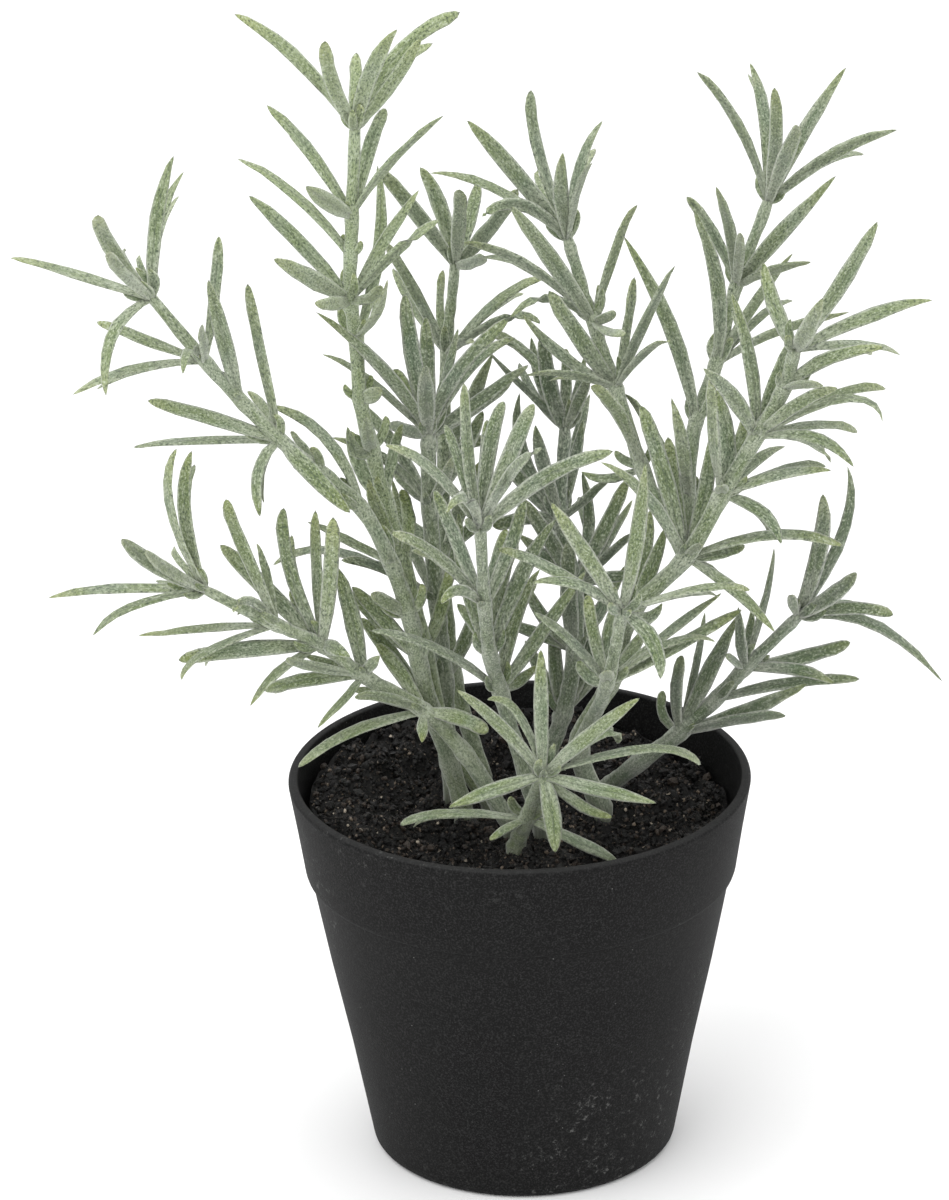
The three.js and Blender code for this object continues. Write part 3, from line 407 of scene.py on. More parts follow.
def mesh_arrays(piece):
    """The points and the three-cornered faces of a small model, which is then removed.

    Operators leave the faces in another order in each run, so they are sorted.
    """
    mesh = piece.data
    mesh.calc_loop_triangles()
    points = np.array([vertex.co for vertex in mesh.vertices])
    faces = np.array([list(triangle.vertices) for triangle in mesh.loop_triangles])
    lowest_first = (faces.argmin(axis=1)[:, None] + np.arange(3)) % 3
    faces = np.take_along_axis(faces, lowest_first, axis=1)
    bpy.data.objects.remove(piece)
    return points, faces[np.lexsort(faces.T[::-1])]


def add_object(name, data):
    """An object in the scene that holds the given mesh, light or camera."""
    piece = bpy.data.objects.new(name, data)
    bpy.context.collection.objects.link(piece)
    return piece


def one_mesh(name, points, faces, marks, material):
    """An object of the given points and faces, with a number for each point and mark."""
    mesh = bpy.data.meshes.new(name)
    mesh.from_pydata(points * MM, [], faces)
    for mark, values in marks.items():
        layer = mesh.attributes.new(mark, "FLOAT", "POINT")
        layer.data.foreach_set("value", np.asarray(values, dtype=np.float32))
    mesh.shade_smooth()
    mesh.materials.append(material)
    return add_object(name, mesh)


def turns(random, count):
    """That many random rotations, as matrices."""
    quaternions = random.normal(size=(count, 4))
    w, x, y, z = (quaternions / np.linalg.norm(quaternions, axis=1, keepdims=True)).T
    rows = [1 - 2 * (y * y + z * z), 2 * (x * y - z * w), 2 * (x * z + y * w),
            2 * (x * y + z * w), 1 - 2 * (x * x + z * z), 2 * (y * z - x * w),
            2 * (x * z - y * w), 2 * (y * z + x * w), 1 - 2 * (x * x + y * y)]
    return np.stack(rows, axis=1).reshape(count, 3, 3)


def scatter(lump, count, middle, seed):
    """Copies of a lump all over the bed, turned and sized at random, with a number each."""
    random = np.random.default_rng(seed)
    lump_points, lump_faces = mesh_arrays(lump)
    out = (SOIL_EDGE - EDGE_GAP) * np.sqrt(random.random(count))
    around = math.tau * random.random(count)
    x, y = out * np.cos(around), out * np.sin(around)
    size = np.clip(random.lognormal(math.log(middle), SIZE_SPREAD, count), SMALLEST, LARGEST)
    level = soil_level(x, y) + np.array([relief(*spot) for spot in zip(x, y)]) + LIFT * size
    centres = np.stack([x, y, level], axis=1)
    shapes = np.einsum("nij,pj->npi", turns(random, count), lump_points)
    points = (shapes * size[:, None, None] + centres[:, None, :]).reshape(-1, 3)
    faces = (lump_faces[None] + len(lump_points) * np.arange(count)[:, None, None]).reshape(-1, 3)
    tint = random.random(count) * np.where(size > 0.5, 0.93, 1)
    return points, faces, {"tint": np.repeat(tint, len(lump_points))}


crumb = start_piece("crumb", bpy.ops.mesh.primitive_ico_sphere_add, subdivisions=1, radius=1)
bpy.ops.transform.vertex_random(offset=0.42, seed=7)
bpy.ops.transform.resize(value=(1.15, 0.9, 0.75))
close_piece()
crumb_mesh = scatter(crumb, CRUMBS, CRUMB_SIZE, CRUMB_SEED)
chip = start_piece("chip", bpy.ops.mesh.primitive_cone_add, vertices=4, radius1=1, depth=1.1)
bpy.ops.transform.vertex_random(offset=0.35, seed=3)
close_piece()
chip_mesh = scatter(chip, CHIPS, CHIP_SIZE, CHIP_SEED)
print(CRUMBS, "crumbs and", CHIPS, "chips")

# %% [markdown]
# ## Damp dark crumbs
# Most crumbs are nearly black. A few are brown or tan bark, and some catch the light. One
# material serves the bed, the crumbs and the chips: each crumb and chip carries a number,
# which picks its colour, and the bed has the number 0 all over, so it stays dark.

# %% The soil's finish
humus = Finish("dark_potting_soil", Specular_IOR_Level=0.4)
pick = humus.mark("tint")
fine = humus.grain(0.3, detail=4, rough=0.7)
dark = humus.mix(humus.step(fine, 0.36, 0.66), 0.0002, (0.0072, 0.0066, 0.0058))
specks = humus.patches(0.24, 0.58, 0.68, detail=2) * humus.patches(3, 0.40, 0.62, detail=2)
dark = humus.mix(specks, dark, (0.075, 0.063, 0.052))
brown = humus.mix(fine, (0.006, 0.005, 0.004), (0.070, 0.050, 0.036))
tan = humus.mix(fine, (0.07, 0.056, 0.042), (0.28, 0.22, 0.165))
earth = dark
for low, high, tone in [(0.76, 0.84, brown), (0.935, 0.945, tan),
                        (0.982, 0.984, (0.46, 0.40, 0.32))]:
    earth = humus.mix(humus.step(pick, low, high), earth, tone)
soil_material = humus.paint(
    Base_Color=earth,
    Roughness=humus.step(pick, 0.1, 0.5, 0.8, 0.36),
    Normal=humus.bump(fine, 0.45),
)
bed.data.materials.append(soil_material)
for name, pieces in [("soil_crumbs", crumb_mesh), ("soil_chips", chip_mesh)]:
    loose = one_mesh(name, *pieces, soil_material)
    loose.data.shade_flat()
    hand_over(loose, "soil")

# %% [markdown]
# ## Where the branches grow
# The plant is laid out as a gardener would draw it: on an upright sheet, looked at from
# the front and a little above. Every whorl has its place on the sheet and a depth behind
# or before it, and every leaf has its tip, its middle and its width. The same eye later
# holds the camera.

# %% The eye, and the place in space of a point on the sheet
EYE_DISTANCE = 1250
EYE_RAISE = math.radians(23.2)
EYE_ROLL = math.radians(-0.95)
SHEET_MIDDLE = np.array([-8.2, 0, 114.5])
DEPTH_GAIN = 0.7
CLOSE_BELOW = -40
OPEN_FROM = 30

eye_back = np.array([0, -math.cos(EYE_RAISE), math.sin(EYE_RAISE)])
level_up = np.array([0, math.sin(EYE_RAISE), math.cos(EYE_RAISE)])
eye_right = np.array([1, 0, 0]) * math.cos(EYE_ROLL) + level_up * math.sin(EYE_ROLL)
eye_up = np.cross(eye_back, eye_right)
eye = SHEET_MIDDLE + EYE_DISTANCE * eye_back


def place(across, up, depth):
    """The point that is seen there on the sheet, with its depth growing towards the top."""
    ray = SHEET_MIDDLE + across * eye_right + up * eye_up - eye
    spread = min(1, max(0, (up - CLOSE_BELOW) / (OPEN_FROM - CLOSE_BELOW)))
    return eye + ray * (depth * (1 + DEPTH_GAIN * spread) - eye[1]) / ray[1]


print("eye at", np.round(eye, 1), "mm")

# %% Every branch: its whorls from the tip down, and the leaves of each
# A whorl is [across, up, y] of the node on the stem, then its leaves. A leaf is [tip
# across, tip up, how far behind the node the tip lies, middle across, middle up, width
# as seen]. An arm is a second stem that leaves at the whorl of that number. The radii are
# a stem's at its tip and at its foot. A warmer branch is yellower, with less felt at the
# edges of its leaves. The same number also paints light and shade: the inner, back and low
# branches, which have low numbers, get darker leaves as painted shade, and the higher the
# number, the more painted light falls on the high leaves.
BRANCHES = [
  dict(name="leafy_stem_front", warmth_and_light=0.75, foot=[-1, -17], radii=[1.3, 1.9], whorls=[
    [[13.2, -33.7, -24], [
      [12.8, -9.6, 3, 12.8, -21.2, 2.9], [-3.4, -17.3, -6, 4.9, -24, 2.7],
      [31.6, -18.8, -4, 22.2, -26, 2.9], [34.9, -39, -8, 24.1, -36.5, 2.9],
      [-4.9, -40, -8, 3.9, -36.5, 2.9], [15.5, -48.7, -9, 14.9, -41.3, 3.7],
      [26.4, -41.7, -2, 20.3, -39.4, 2.3], [43.7, -31.5, 4, 32.8, -28.5, 1.7],
      [27.4, -27.9, 6, 24.5, -25.6, 2], [2.4, -19.2, 8, 8.2, -21.5, 1.7]]],
    [[10, -42, -19], [
      [-14.3, -43.3, -4, -5.7, -41, 1.9], [27.6, -50.4, -6, 21.3, -47.1, 2.3],
      [3, -46, -6, 6, -44, 1.8], [18, -45, 4, 14, -43, 1.8]]],
  ]),
  dict(name="leafy_stem_low_left", warmth_and_light=0.70, foot=[-2, -7], radii=[1.1, 1.8], whorls=[
    [[-51.8, 1.9, -20], [
      [-82.2, 0.6, 2, -68.2, 2.3, 1.9], [-73.7, -6.7, -6, -65.3, -1, 1.7],
      [-68.2, 12.5, -10, -62.4, 7.3, 3.1], [-63.9, 9.6, -14, -59.5, 6.2, 2.3],
      [-58.2, 10.2, 9, -56.6, 7.3, 1.3], [-57.4, 29.2, 2, -58.6, 17.5, 1.7],
      [-54.5, 28.8, 6, -55.8, 16.8, 2.6], [-61.2, 3.5, 10, -57, 2.9, 1.3]]],
    [[-38, -4.8, -17], [
      [-46.2, -2.5, -8, -43.2, 0, 1.7], [-64.5, -7.1, 6, -51.8, -5.4, 1.6],
      [-56.6, -15.4, -7, -51.8, -10, 1.6], [-48.2, 19.2, 4, -44.6, 10.2, 2.5],
      [-42.2, 11, 9, -39.9, 4.8, 1.6]]],
    [[-29.3, -8.7, -14], [
      [-57, -11.5, -6, -45.1, -9.6, 3.2], [-48.9, 10.6, -4, -40.9, 2.9, 3.4],
      [-36.8, 17.7, 2, -35.6, 6, 2.7], [-30.9, 17.3, 7, -30.3, 4.8, 2.3],
      [-27.2, 15.8, -4, -27.8, 3.8, 3], [-43.2, -20.4, -6, -37.4, -13.5, 1.9],
      [-24.5, -10.6, -7, -27.2, -9.2, 3], [-35.5, 2, 8, -33, -3, 2.2]]],
    [[-21.5, -14.5, -11], [
      [-26.6, 6.2, 4, -23.6, -3, 3.4], [-40.9, -17.7, 3, -32.6, -15.4, 2.7],
      [-30.5, -24.4, -7, -24.7, -18.6, 1.7], [-18.5, -11, -4, -20, -12.5, 2.4],
      [-33, -10.5, 6, -27.5, -12.4, 2], [-36, -11.2, -8, -31.5, -12.6, 2]]],
    [[-9.5, -21.5, -9], [
      [-33.9, -32.3, -6, -23.9, -25.4, 2.3], [2.6, -25.4, -4, -2.8, -22.7, 3.2],
      [-10, -27, -6, -10, -24.5, 2.2], [-24, -17, 4, -17, -18.6, 2.6],
      [-19, -8, 6, -14.8, -13.2, 3], [-23.5, -18.5, -5, -17, -18.7, 2.2]]],
    [[-1.8, -29.6, -8], []],
  ]),
  dict(name="leafy_stem_centre", warmth_and_light=0.35, foot=[4, -8], radii=[1.2, 1.7], whorls=[
    [[1.1, 13.5, -20], [
      [-1.6, 41.7, 2, -1.2, 27.9, 2.3], [26.6, 28.5, -4, 13.6, 23.7, 3.1],
      [12.8, 29.4, -9, 6.4, 23.5, 2.3], [-5.5, 16.7, -10, -1.6, 19.6, 2.3],
      [-17.2, 29.8, 2, -8, 25, 2.2], [11.5, 37.8, 3, 7.9, 30.5, 3.3], [5.8, 38.3, 8, 3, 29.8, 3],
      [2.5, 34.5, 5, 2.2, 25, 3], [-5.5, 34, 8, -2.6, 25.5, 2.2]]],
    [[2, -1.3, -16], [
      [-6.2, -0.6, -8, -2.8, 1.9, 2.3], [-15.9, 13.1, -4, -6.6, 8.1, 2.3],
      [9.6, 19.5, 7, 6.6, 9.5, 2.8], [-7.6, 21.4, 9, -3.4, 11.2, 2.6],
      [6.2, 14, 3, 3.9, 6.4, 2.4]]],
    [[3, -10.6, -13], [
      [15.8, 15.9, 4, 8.8, 4.4, 3.1], [8, 12, 8, 5, 3, 3], [-3.4, -0.6, 6, 0.3, -5.2, 2.6],
      [-3.9, 15.8, 8, -1.4, 2.6, 2.8]]],
    [[4.9, -17.3, -11], [
      [-19.7, -5.4, -6, -6.6, -9.6, 1.9], [21.2, 5.6, 4, 12.8, -6.4, 2.8],
      [12.5, 6, 8, 7.6, -4, 3], [12, -12.6, 6, 8.5, -15.6, 2.4]]],
  ]),
  dict(name="leafy_stem_left", warmth_and_light=0.70, foot=[-11, 0], radii=[1.2, 1.9], whorls=[
    [[-62, 58, -14], [
      [-89.1, 66, -3, -76.6, 62.7, 1.9], [-72.6, 74.6, -12, -69.8, 67.4, 3],
      [-70.7, 67.3, -16, -68.2, 63.5, 2.5], [-67.8, 67.7, 14, -66.6, 64, 1.5],
      [-64.9, 66.3, 6, -64.1, 63.8, 1.4], [-58.2, 85.4, 3, -61.3, 72.2, 2.8],
      [-56, 82.6, 9, -61.1, 71.4, 2], [-70.8, 39.2, -6, -69.6, 51.2, 2.3],
      [-70.1, 60.8, 9, -68, 60, 1.4]]],
    [[-51.8, 45.8, -12], [
      [-72.8, 53.9, 6, -63.3, 50.1, 2], [-77.4, 39.6, -5, -65.4, 44.5, 1.8],
      [-56.3, 43.5, -9, -54.7, 48.1, 1.9], [-49.1, 70, 2, -49.9, 60, 2.2],
      [-53.3, 52.9, -10, -52.1, 49.2, 1.8]]],
    [[-45.1, 38.5, -10], [
      [-51.3, 61.9, -6, -48.4, 50.7, 3.2]]],
    [[-37.4, 30.8, -9], [
      [-43.7, 60.8, 3, -41, 46.9, 2], [-62.8, 38.4, -5, -52.4, 35.5, 2.8],
      [-65.7, 29.6, 7, -53.3, 30.7, 1.8], [-41.4, 15.8, -8, -41.5, 25, 2.3],
      [-43.2, 40, 11, -40.1, 36.2, 1.9], [-24, 16.8, -5, -31.5, 24.6, 3.6]]],
    [[-29.7, 24.6, -8], [
      [-35.9, 32.3, 5, -32.5, 29, 1.4]]],
    [[-21.8, 17.8, -7], [
      [-39.3, 37.5, 6, -28.2, 30.8, 2.3]]],
    [[-16, 7, -6], [
      [-32.2, 15.2, 4, -24.3, 11.5, 1.9]]],
    [[-12.6, -3, -5], [
      [-20.1, 1.5, -6, -17, -0.4, 2.8]]],
    [[-10.8, -11.5, -5], [
      [-25.9, 3.8, 5, -18.2, -4.8, 1.9], [-23.5, 2.5, -4, -17.6, -3.6, 3]]],
    [[-8, -22, -3], [
      [-22, -3.5, 5, -15.6, -11, 3]]],
    [[-4.5, -32, -1], []],
  ]),
  dict(name="leafy_stem_tallest", warmth_and_light=1.15, foot=[-6, 4], radii=[1.2, 1.8], whorls=[
    [[-23, 90.4, 4], [
      [-46, 112.9, -4, -33.8, 103.8, 2.6], [-28.8, 107.4, -9, -27.3, 99.4, 2.9],
      [-22.8, 105.4, 9, -22.8, 98, 2.7], [-15, 109.7, -6, -20, 101.3, 3.2],
      [-2.6, 112.9, 4, -15.1, 104.8, 2.9], [-10.5, 108, -2, -15.8, 99.5, 2.6]]],
    [[-23.6, 74, 4], [
      [-17, 94.6, 7, -20, 87.5, 2.8], [-39.9, 95.2, 3, -31.8, 86.4, 2.5],
      [-32.5, 79.7, -12, -28.2, 76.6, 3.4], [-6, 93.3, -3, -16.1, 84.2, 1.7]]],
    [[-23.8, 66, 3], [
      [-45.5, 85.3, 4, -33.9, 77.4, 2.1]]],
    [[-23.9, 57.7, 3], [
      [-43.2, 77.6, -3, -34.1, 69.2, 2.9], [-38.4, 65.5, -12, -31.7, 62, 3.4],
      [-6.6, 73, -5, -14.4, 67.7, 2], [-10.5, 78.8, 5, -17.2, 69.3, 2.2],
      [-30.5, 57, -8, -27, 57, 2.8], [-18, 60.5, -8, -20.4, 58, 2.2]]],
    [[-22.8, 50.4, 3], [
      [-17.2, 61.9, -8, -18.7, 55.4, 1.7], [-18.7, 83.8, 1, -18.4, 67, 2.5]]],
    [[-22, 38.5, 2], [
      [-18, 41, -4, -19.5, 39.5, 3]]],
    [[-19.7, 28.8, 2], [
      [-24.5, 33.4, -3, -22.6, 28.5, 2.4], [-21, 36, -6, -20.4, 31, 3]]],
    [[-17.2, 19.2, 2], [
      [-23.8, 32.5, -3, -21.4, 24.4, 3], [-13.8, 34, 5, -15.8, 27.5, 2.3]]],
    [[-13.8, 7.7, 2], [
      [-14.3, 21.5, 6, -12.6, 15, 2.6], [-20.5, 23.5, -3, -18, 15.5, 3]]],
    [[-9.5, -10, 3], [
      [-15.5, 9.5, -4, -13, -0.5, 3], [-4.6, 7.5, 5, -6.4, -1.5, 2.8]]],
    [[-5.5, -26, 4], []],
  ]),
  dict(name="leafy_stem_dark", warmth_and_light=0.20, foot=[-13, 9], radii=[1.6, 1.9], whorls=[
    [[-8.9, 31.7, 4], [
      [-30.1, 55.6, -4, -16.6, 43.3, 2.7], [-29.1, 47.7, 3, -19.7, 41.9, 1.6],
      [-13.4, 58.7, 3, -11.8, 46.6, 3.3], [-9.7, 45.8, -9, -9.3, 38.8, 3.4],
      [-3.2, 52.3, 6, -5.7, 42.3, 1.9], [6.8, 54.2, -3, -3.7, 43.3, 2.7],
      [7.8, 50.8, 5, -1.4, 44.2, 2.3], [-9.4, 54.5, 8, -9, 43.5, 3.2],
      [10.3, 45.6, 8, 0.6, 38.2, 2.6], [7.4, 42.6, 12, -0.6, 36.8, 3.1],
      [-17, 34.3, 8, -12.8, 32.6, 2.6]]],
    [[-8.6, 18.3, 5], [
      [-24.4, 39.7, 4, -16.4, 31.2, 2.6], [-27.4, 31, -5, -17, 27, 2],
      [-4.3, 27.5, -6, -5.9, 23, 2.3], [-16.5, 26, 7, -12.5, 21.8, 2.2],
      [1.6, 36.4, 6, -2.4, 28, 3]]],
    [[-7.2, 0, 6], [
      [-38.9, 6.7, 4, -26, 9.3, 1.9], [-25.6, 7.6, -4, -17.2, 6, 2],
      [-15.9, 23, 2, -12.4, 11.5, 2.5], [-3, 17, 3, -3.8, 8, 2.6]]],
    [[-5.7, -15.4, 7], [
      [-13.4, 2.5, 3, -10.2, -6.5, 3], [1.4, 1.8, 4, -1.4, -6.8, 2.9]]],
    [[-5.2, -28, 8], []],
  ]),
  dict(name="leafy_stem_back_left", warmth_and_light=0.65, foot=[-7, 15], radii=[1.1, 1.7], whorls=[
    [[-3.7, 64.4, 24], [
      [-10.5, 83.2, 3, -6.6, 75.6, 3.2], [-2.6, 79.4, -9, -3, 72.1, 2.8],
      [0.7, 80.6, 9, -0.7, 74, 2.7], [-18.6, 83.1, -4, -11.4, 74.6, 3.1],
      [8.4, 79.2, -6, 2.9, 71.4, 3], [2.5, 66.5, -9, -0.6, 64.8, 2.4]]],
    [[-5.4, 47.1, 21], [
      [-17, 68.7, -4, -11.1, 58.7, 2.3], [-15.7, 63.8, 6, -11.4, 55.8, 1.4],
      [13.2, 62.4, 3, 4.5, 57.5, 2.2], [0, 49.6, -8, -2.8, 49.5, 1.7],
      [-6, 63.5, 8, -6.6, 55.8, 1.9], [12.8, 53.4, -3, 5.6, 54.2, 1.8]]],
    [[-5.8, 28, 18], [
      [-15.5, 44.5, 4, -11.2, 37, 2.8], [3.4, 47.4, -3, -0.8, 38, 2.9],
      [5, 30.5, -8, -0.6, 30.4, 2.5]]],
    [[-6, 8, 16], [
      [-16.8, 15.5, -5, -11.6, 13.5, 2.9], [1.6, 27.2, -3, -2.4, 18.4, 3],
      [6, 17.5, 4, 0.4, 14.6, 2.6]]],
    [[-4, -14, 15], []],
  ]),
  dict(name="leafy_stem_back", warmth_and_light=0.10, foot=[4, 14], radii=[1.3, 1.9], whorls=[
    [[17.4, 32.7, 17], [
      [2.4, 47.5, -2, 11.6, 38.8, 1.7], [17.6, 48.5, 4, 17.6, 42.3, 2.3],
      [13.2, 51.4, -2, 14.4, 41.3, 3.4], [10.9, 50.6, 6, 12.9, 42, 2.6],
      [22.2, 43.8, -4, 20.3, 38.9, 2.5], [9.1, 45.8, 8, 11.5, 39.5, 1.8],
      [0.5, 52.5, 3, 11.8, 45.7, 2], [21, 46.8, 6, 20, 40, 2.3]]],
    [[16.6, 15.4, 15], [
      [20.8, 35, 4, 19.2, 26.6, 2.3], [8.8, 39.8, 2, 9.3, 28, 2.6],
      [11.8, 33.6, -4, 13.2, 26, 2.9], [27, 24.6, -2, 21.5, 19.6, 1.9],
      [22.1, 40, 5, 19.4, 29.6, 2.6], [3.5, 14, 3, 10, 15.8, 2.8],
      [5.6, 27.4, 4, 10.2, 21.6, 3]]],
    [[19.4, 3, 13], [
      [29.5, 23.5, 2, 25, 13.6, 3.1], [30.3, 19.6, 7, 25.6, 11.5, 1.9],
      [30.3, 12.9, -4, 25.4, 8.5, 1.9], [20.5, 24.6, 6, 22, 14, 2.4],
      [9, 19.5, -2, 14.2, 12, 3.2], [14.4, 25.5, 5, 15.6, 14.5, 3],
      [31.6, 4.8, -3, 25.8, 4.4, 2.4], [8.4, 12.6, 5, 13.4, 8.4, 2.6]]],
    [[19.3, -9.6, 12], [
      [10, 3.5, 2, 13.2, -3.4, 2.6], [21.4, 3.6, 4, 20.6, -3.6, 2.4],
      [18.2, 11.4, -6, 18.2, 0.5, 3.4], [29, 6.6, 4, 24.4, -1.6, 2.8],
      [5.2, -4.2, 4, 11.4, -6.2, 2.6]]],
    [[17, -22, 13], [
      [15.5, -5, 3, 15.6, -13, 3], [22.8, -0.6, 5, 21.8, -11, 2.5],
      [9.6, -7.4, 4, 12.8, -14, 2.7], [28.4, -9.8, 3, 23.2, -14.6, 2.4]]],
  ]),
  dict(name="leafy_stem_right", warmth_and_light=0.55, foot=[16, 0], radii=[1.3, 2.1], whorls=[
    [[61.6, 48, -10], [
      [77.3, 72.6, -3, 70.9, 61.4, 3.1], [66.8, 57.7, -11, 64.1, 52, 3.4],
      [88.2, 58, 2, 75.7, 54.6, 2.7], [82.2, 47.5, 6, 73.4, 49.3, 1.8],
      [55.4, 65, 4, 57.9, 56, 3]]],
    [[59.4, 40.5, -9], [
      [78.8, 48.6, -4, 67.8, 46.4, 2.7], [67.2, 41.3, -9, 63, 41.5, 1.6]]],
    [[54.1, 31.3, -9], [
      [79.5, 41.5, 4, 68, 39, 2.1], [79.1, 34.4, -3, 71, 38.8, 1.7],
      [74.1, 32.7, 8, 65.6, 33.7, 1.8], [73, 25.6, -7, 65.5, 31.2, 2.3],
      [49.3, 59.2, 2, 53.2, 45.2, 2.7], [43.7, 44.6, -7, 49.7, 39, 3.1],
      [60.3, 49.5, 5, 57.4, 41, 2.4], [70, 41, -5, 62, 37.6, 2.6]]],
    [[47.6, 20.2, -9], [
      [68.7, 25, -4, 58.7, 24.2, 2.1], [67.8, 26.2, 5, 59.1, 25.2, 1.4],
      [58.9, 10.8, -5, 55.4, 16.8, 2.5], [45.7, 43.3, -4, 45.9, 31.7, 1.9],
      [47.3, 22.5, -6, 47.5, 21.5, 2.8], [46.4, 40.5, 5, 48.7, 30.4, 3.3],
      [52, 36, 8, 50.5, 28, 3], [60, 30.2, 6, 53.4, 26.3, 2.4]]],
    [[40.5, 8.1, -9], [
      [70.9, 10.4, 3, 57.3, 12.6, 2], [57.8, -6.3, -7, 50.1, 1.9, 2.3],
      [44.1, 11, -6, 42.5, 10, 1.8], [24.7, 26.9, -6, 33.7, 19.2, 2.5],
      [32, 37.5, 5, 36.2, 25, 3.4], [45, 31, 4, 44.2, 20, 3.2], [49.5, 2.6, 3, 45, 6, 1.8],
      [52, 10.6, 4, 47, 8.8, 1.9], [37.2, 31.4, 6, 38.7, 20, 2.9]]],
    [[29.9, -2.9, -8], [
      [36.8, 14.2, 3, 33.8, 5.6, 3], [33.8, 17.5, 7, 32.4, 7, 2.8]]],
    [[26.6, -15, -6], []],
    [[20, -28, -3], []],
  ], arms=[
    dict(radii=[1.2, 1.5], joins=4, whorls=[
      [[56.4, 76.3, 14], [
        [42.8, 101.7, -2, 51, 91.1, 2], [52.8, 103.3, 6, 56, 91.9, 2.5],
        [57.6, 98.2, -8, 58, 88.7, 2.7], [71.6, 102.5, 2, 63.2, 89.8, 2.9],
        [63, 91.9, -9, 60.4, 86.6, 3], [81.5, 90.6, -4, 69, 85.8, 2.5],
        [75, 85.8, 8, 67, 84.1, 1.8]]],
      [[50.3, 60.3, 11], [
        [69.7, 81.7, -4, 58.7, 70.2, 3.1], [40.9, 77.5, 3, 46.4, 69.8, 2.1],
        [46.3, 79.2, -7, 49.1, 71.4, 2.4], [51.4, 70.6, -5, 51, 66.5, 2.2],
        [64.8, 65.1, -8, 57.2, 63.4, 1.9]]],
      [[46.4, 45.2, 8], [
        [60.9, 66.9, 5, 54.3, 57.7, 2.3], [61.2, 57.5, 9, 55.3, 54.8, 1.5],
        [42, 75.3, -3, 46.9, 60, 3], [72.2, 55.2, 3, 58.7, 51.9, 1.9]]],
      [[42.5, 34, 4], [
        [28.6, 70, 2, 38.1, 51.5, 3]]],
      [[41, 19.5, -2], [
        [38, 38.5, -6, 40.3, 27.9, 2.7], [29.1, 39.8, 5, 34.2, 32.6, 2.1]]],
    ]),
    dict(radii=[1.2, 1.5], joins=4, whorls=[
      [[18, 69.2, 10], [
        [-1.6, 92.3, -4, 7.4, 82.7, 3.4], [10.9, 98, 3, 12.1, 87.2, 2.3],
        [11.8, 82.9, 10, 13.7, 77.5, 2.1], [17.2, 86.2, -9, 16.6, 78.5, 2.9],
        [24.5, 92.3, 4, 20, 82.6, 2.1], [22.4, 84.6, -8, 19.9, 78.8, 1.4],
        [1.4, 73.7, -7, 9.2, 76, 2.6], [-8.6, 82.5, 2, 4.6, 78.9, 1.8]]],
      [[22.8, 53.5, 8], [
        [6.8, 76, -4, 15.1, 65, 3.4], [30.5, 76.5, 3, 26.7, 66.3, 1.9],
        [-2.4, 68.7, 3, 10.2, 64.5, 1.8], [6.8, 54.2, -7, 14.1, 58.1, 1.7],
        [27.4, 55.4, -5, 25, 54.2, 2], [28.4, 51.5, -8, 25.5, 51.8, 1.6]]],
      [[27.2, 40.6, 4], [
        [14.1, 59.6, -3, 20.5, 50, 3.4], [30.7, 62.2, 6, 29.1, 51, 1.9],
        [38.5, 64.4, -4, 32.7, 53.5, 2.1], [37.5, 50.2, -8, 32.4, 47.4, 1.6],
        [9.7, 43.7, -5, 19.7, 43.3, 1.7], [9, 55, 5, 17.4, 46.6, 2.3]]],
      [[32.2, 25.5, 0], [
        [22.4, 41.4, -5, 27.8, 35.8, 2.6], [20.5, 24.6, 4, 26, 23.4, 1.9]]],
    ]),
    dict(radii=[1.2, 1.6], joins=7, whorls=[
      [[28.4, -2.3, -22], [
        [32.8, 26.3, 2, 31.2, 11.5, 3.1], [14.7, 18.7, -4, 21.8, 8.1, 3.1],
        [4.3, 10, 4, 14.6, 6.1, 2.1], [11.1, 3.5, -6, 20.3, 2.9, 2], [53, 1.9, 3, 43.4, 2.3, 1.5],
        [35.9, -15.4, -8, 34.1, -7.7, 3], [36, -0.5, 6, 33, -3.6, 2.6]]],
      [[25.6, -15.8, -18], [
        [11.3, -2.3, -4, 18.4, -7.7, 1.9], [46.6, -7.7, 4, 37.5, -8.2, 1.5],
        [51.4, -1.7, 8, 37.6, -9.5, 2.4], [25.3, -13.3, -6, 25.4, -14.5, 3],
        [21.8, 1, 5, 23, -7, 2.6], [26.8, -0.4, 8, 26, -7.4, 3], [47.6, 1.2, 11, 38, -5.6, 1.9],
        [33.4, -5, -3, 30, -10, 2.6], [20, -11.5, 6, 22, -14.6, 2.8]]],
    ]),
  ]),
  dict(name="leafy_stem_low_right", warmth_and_light=0.05, foot=[17, 9], radii=[1.2, 1.9], whorls=[
    [[62.2, -3.2, 2], [
      [67, 20.4, -4, 66.3, 9.6, 3.4], [72.2, 25.8, 3, 70.8, 12.6, 2.4],
      [73.7, 5.4, -8, 69.2, 1.2, 3.2], [73.2, -0.4, 8, 68.4, -0.8, 1.4],
      [80.5, -2.9, -5, 72.2, -1.5, 2.6], [89.9, -15.8, -3, 76.8, -4.7, 2.3],
      [60.8, 1.5, -5, 61.2, -0.5, 2]]],
    [[52, -13.1, 3], [
      [57.8, 10, 5, 55.9, 0, 1.6], [51, -1, -5, 51.2, -7.7, 2.3], [53.6, -1.5, 6, 52.7, -7.7, 2],
      [72.2, -8.2, 5, 63.2, -11, 3], [69.1, -16, -4, 61.6, -13.3, 2.6],
      [48.7, -10.6, -6, 50, -11.8, 1.6]]],
    [[46.2, -19.2, 3], [
      [74.1, -15, 3, 60, -16, 2.3]]],
    [[39.5, -25.5, 3], [
      [64.1, -16, -6, 52, -21.5, 3.1], [60.1, -22.1, -9, 52, -22.7, 2.2],
      [40.2, -10.6, -5, 38.8, -17.4, 2.5], [44.3, -2.3, 4, 42.6, -13, 1.6],
      [50.7, -2.9, -1, 45.2, -13.7, 3.2], [36.4, -17.3, 6, 36.2, -22, 2]]],
    [[31.6, -31.2, 4], []],
  ]),
]
print(len(BRANCHES), "branches")

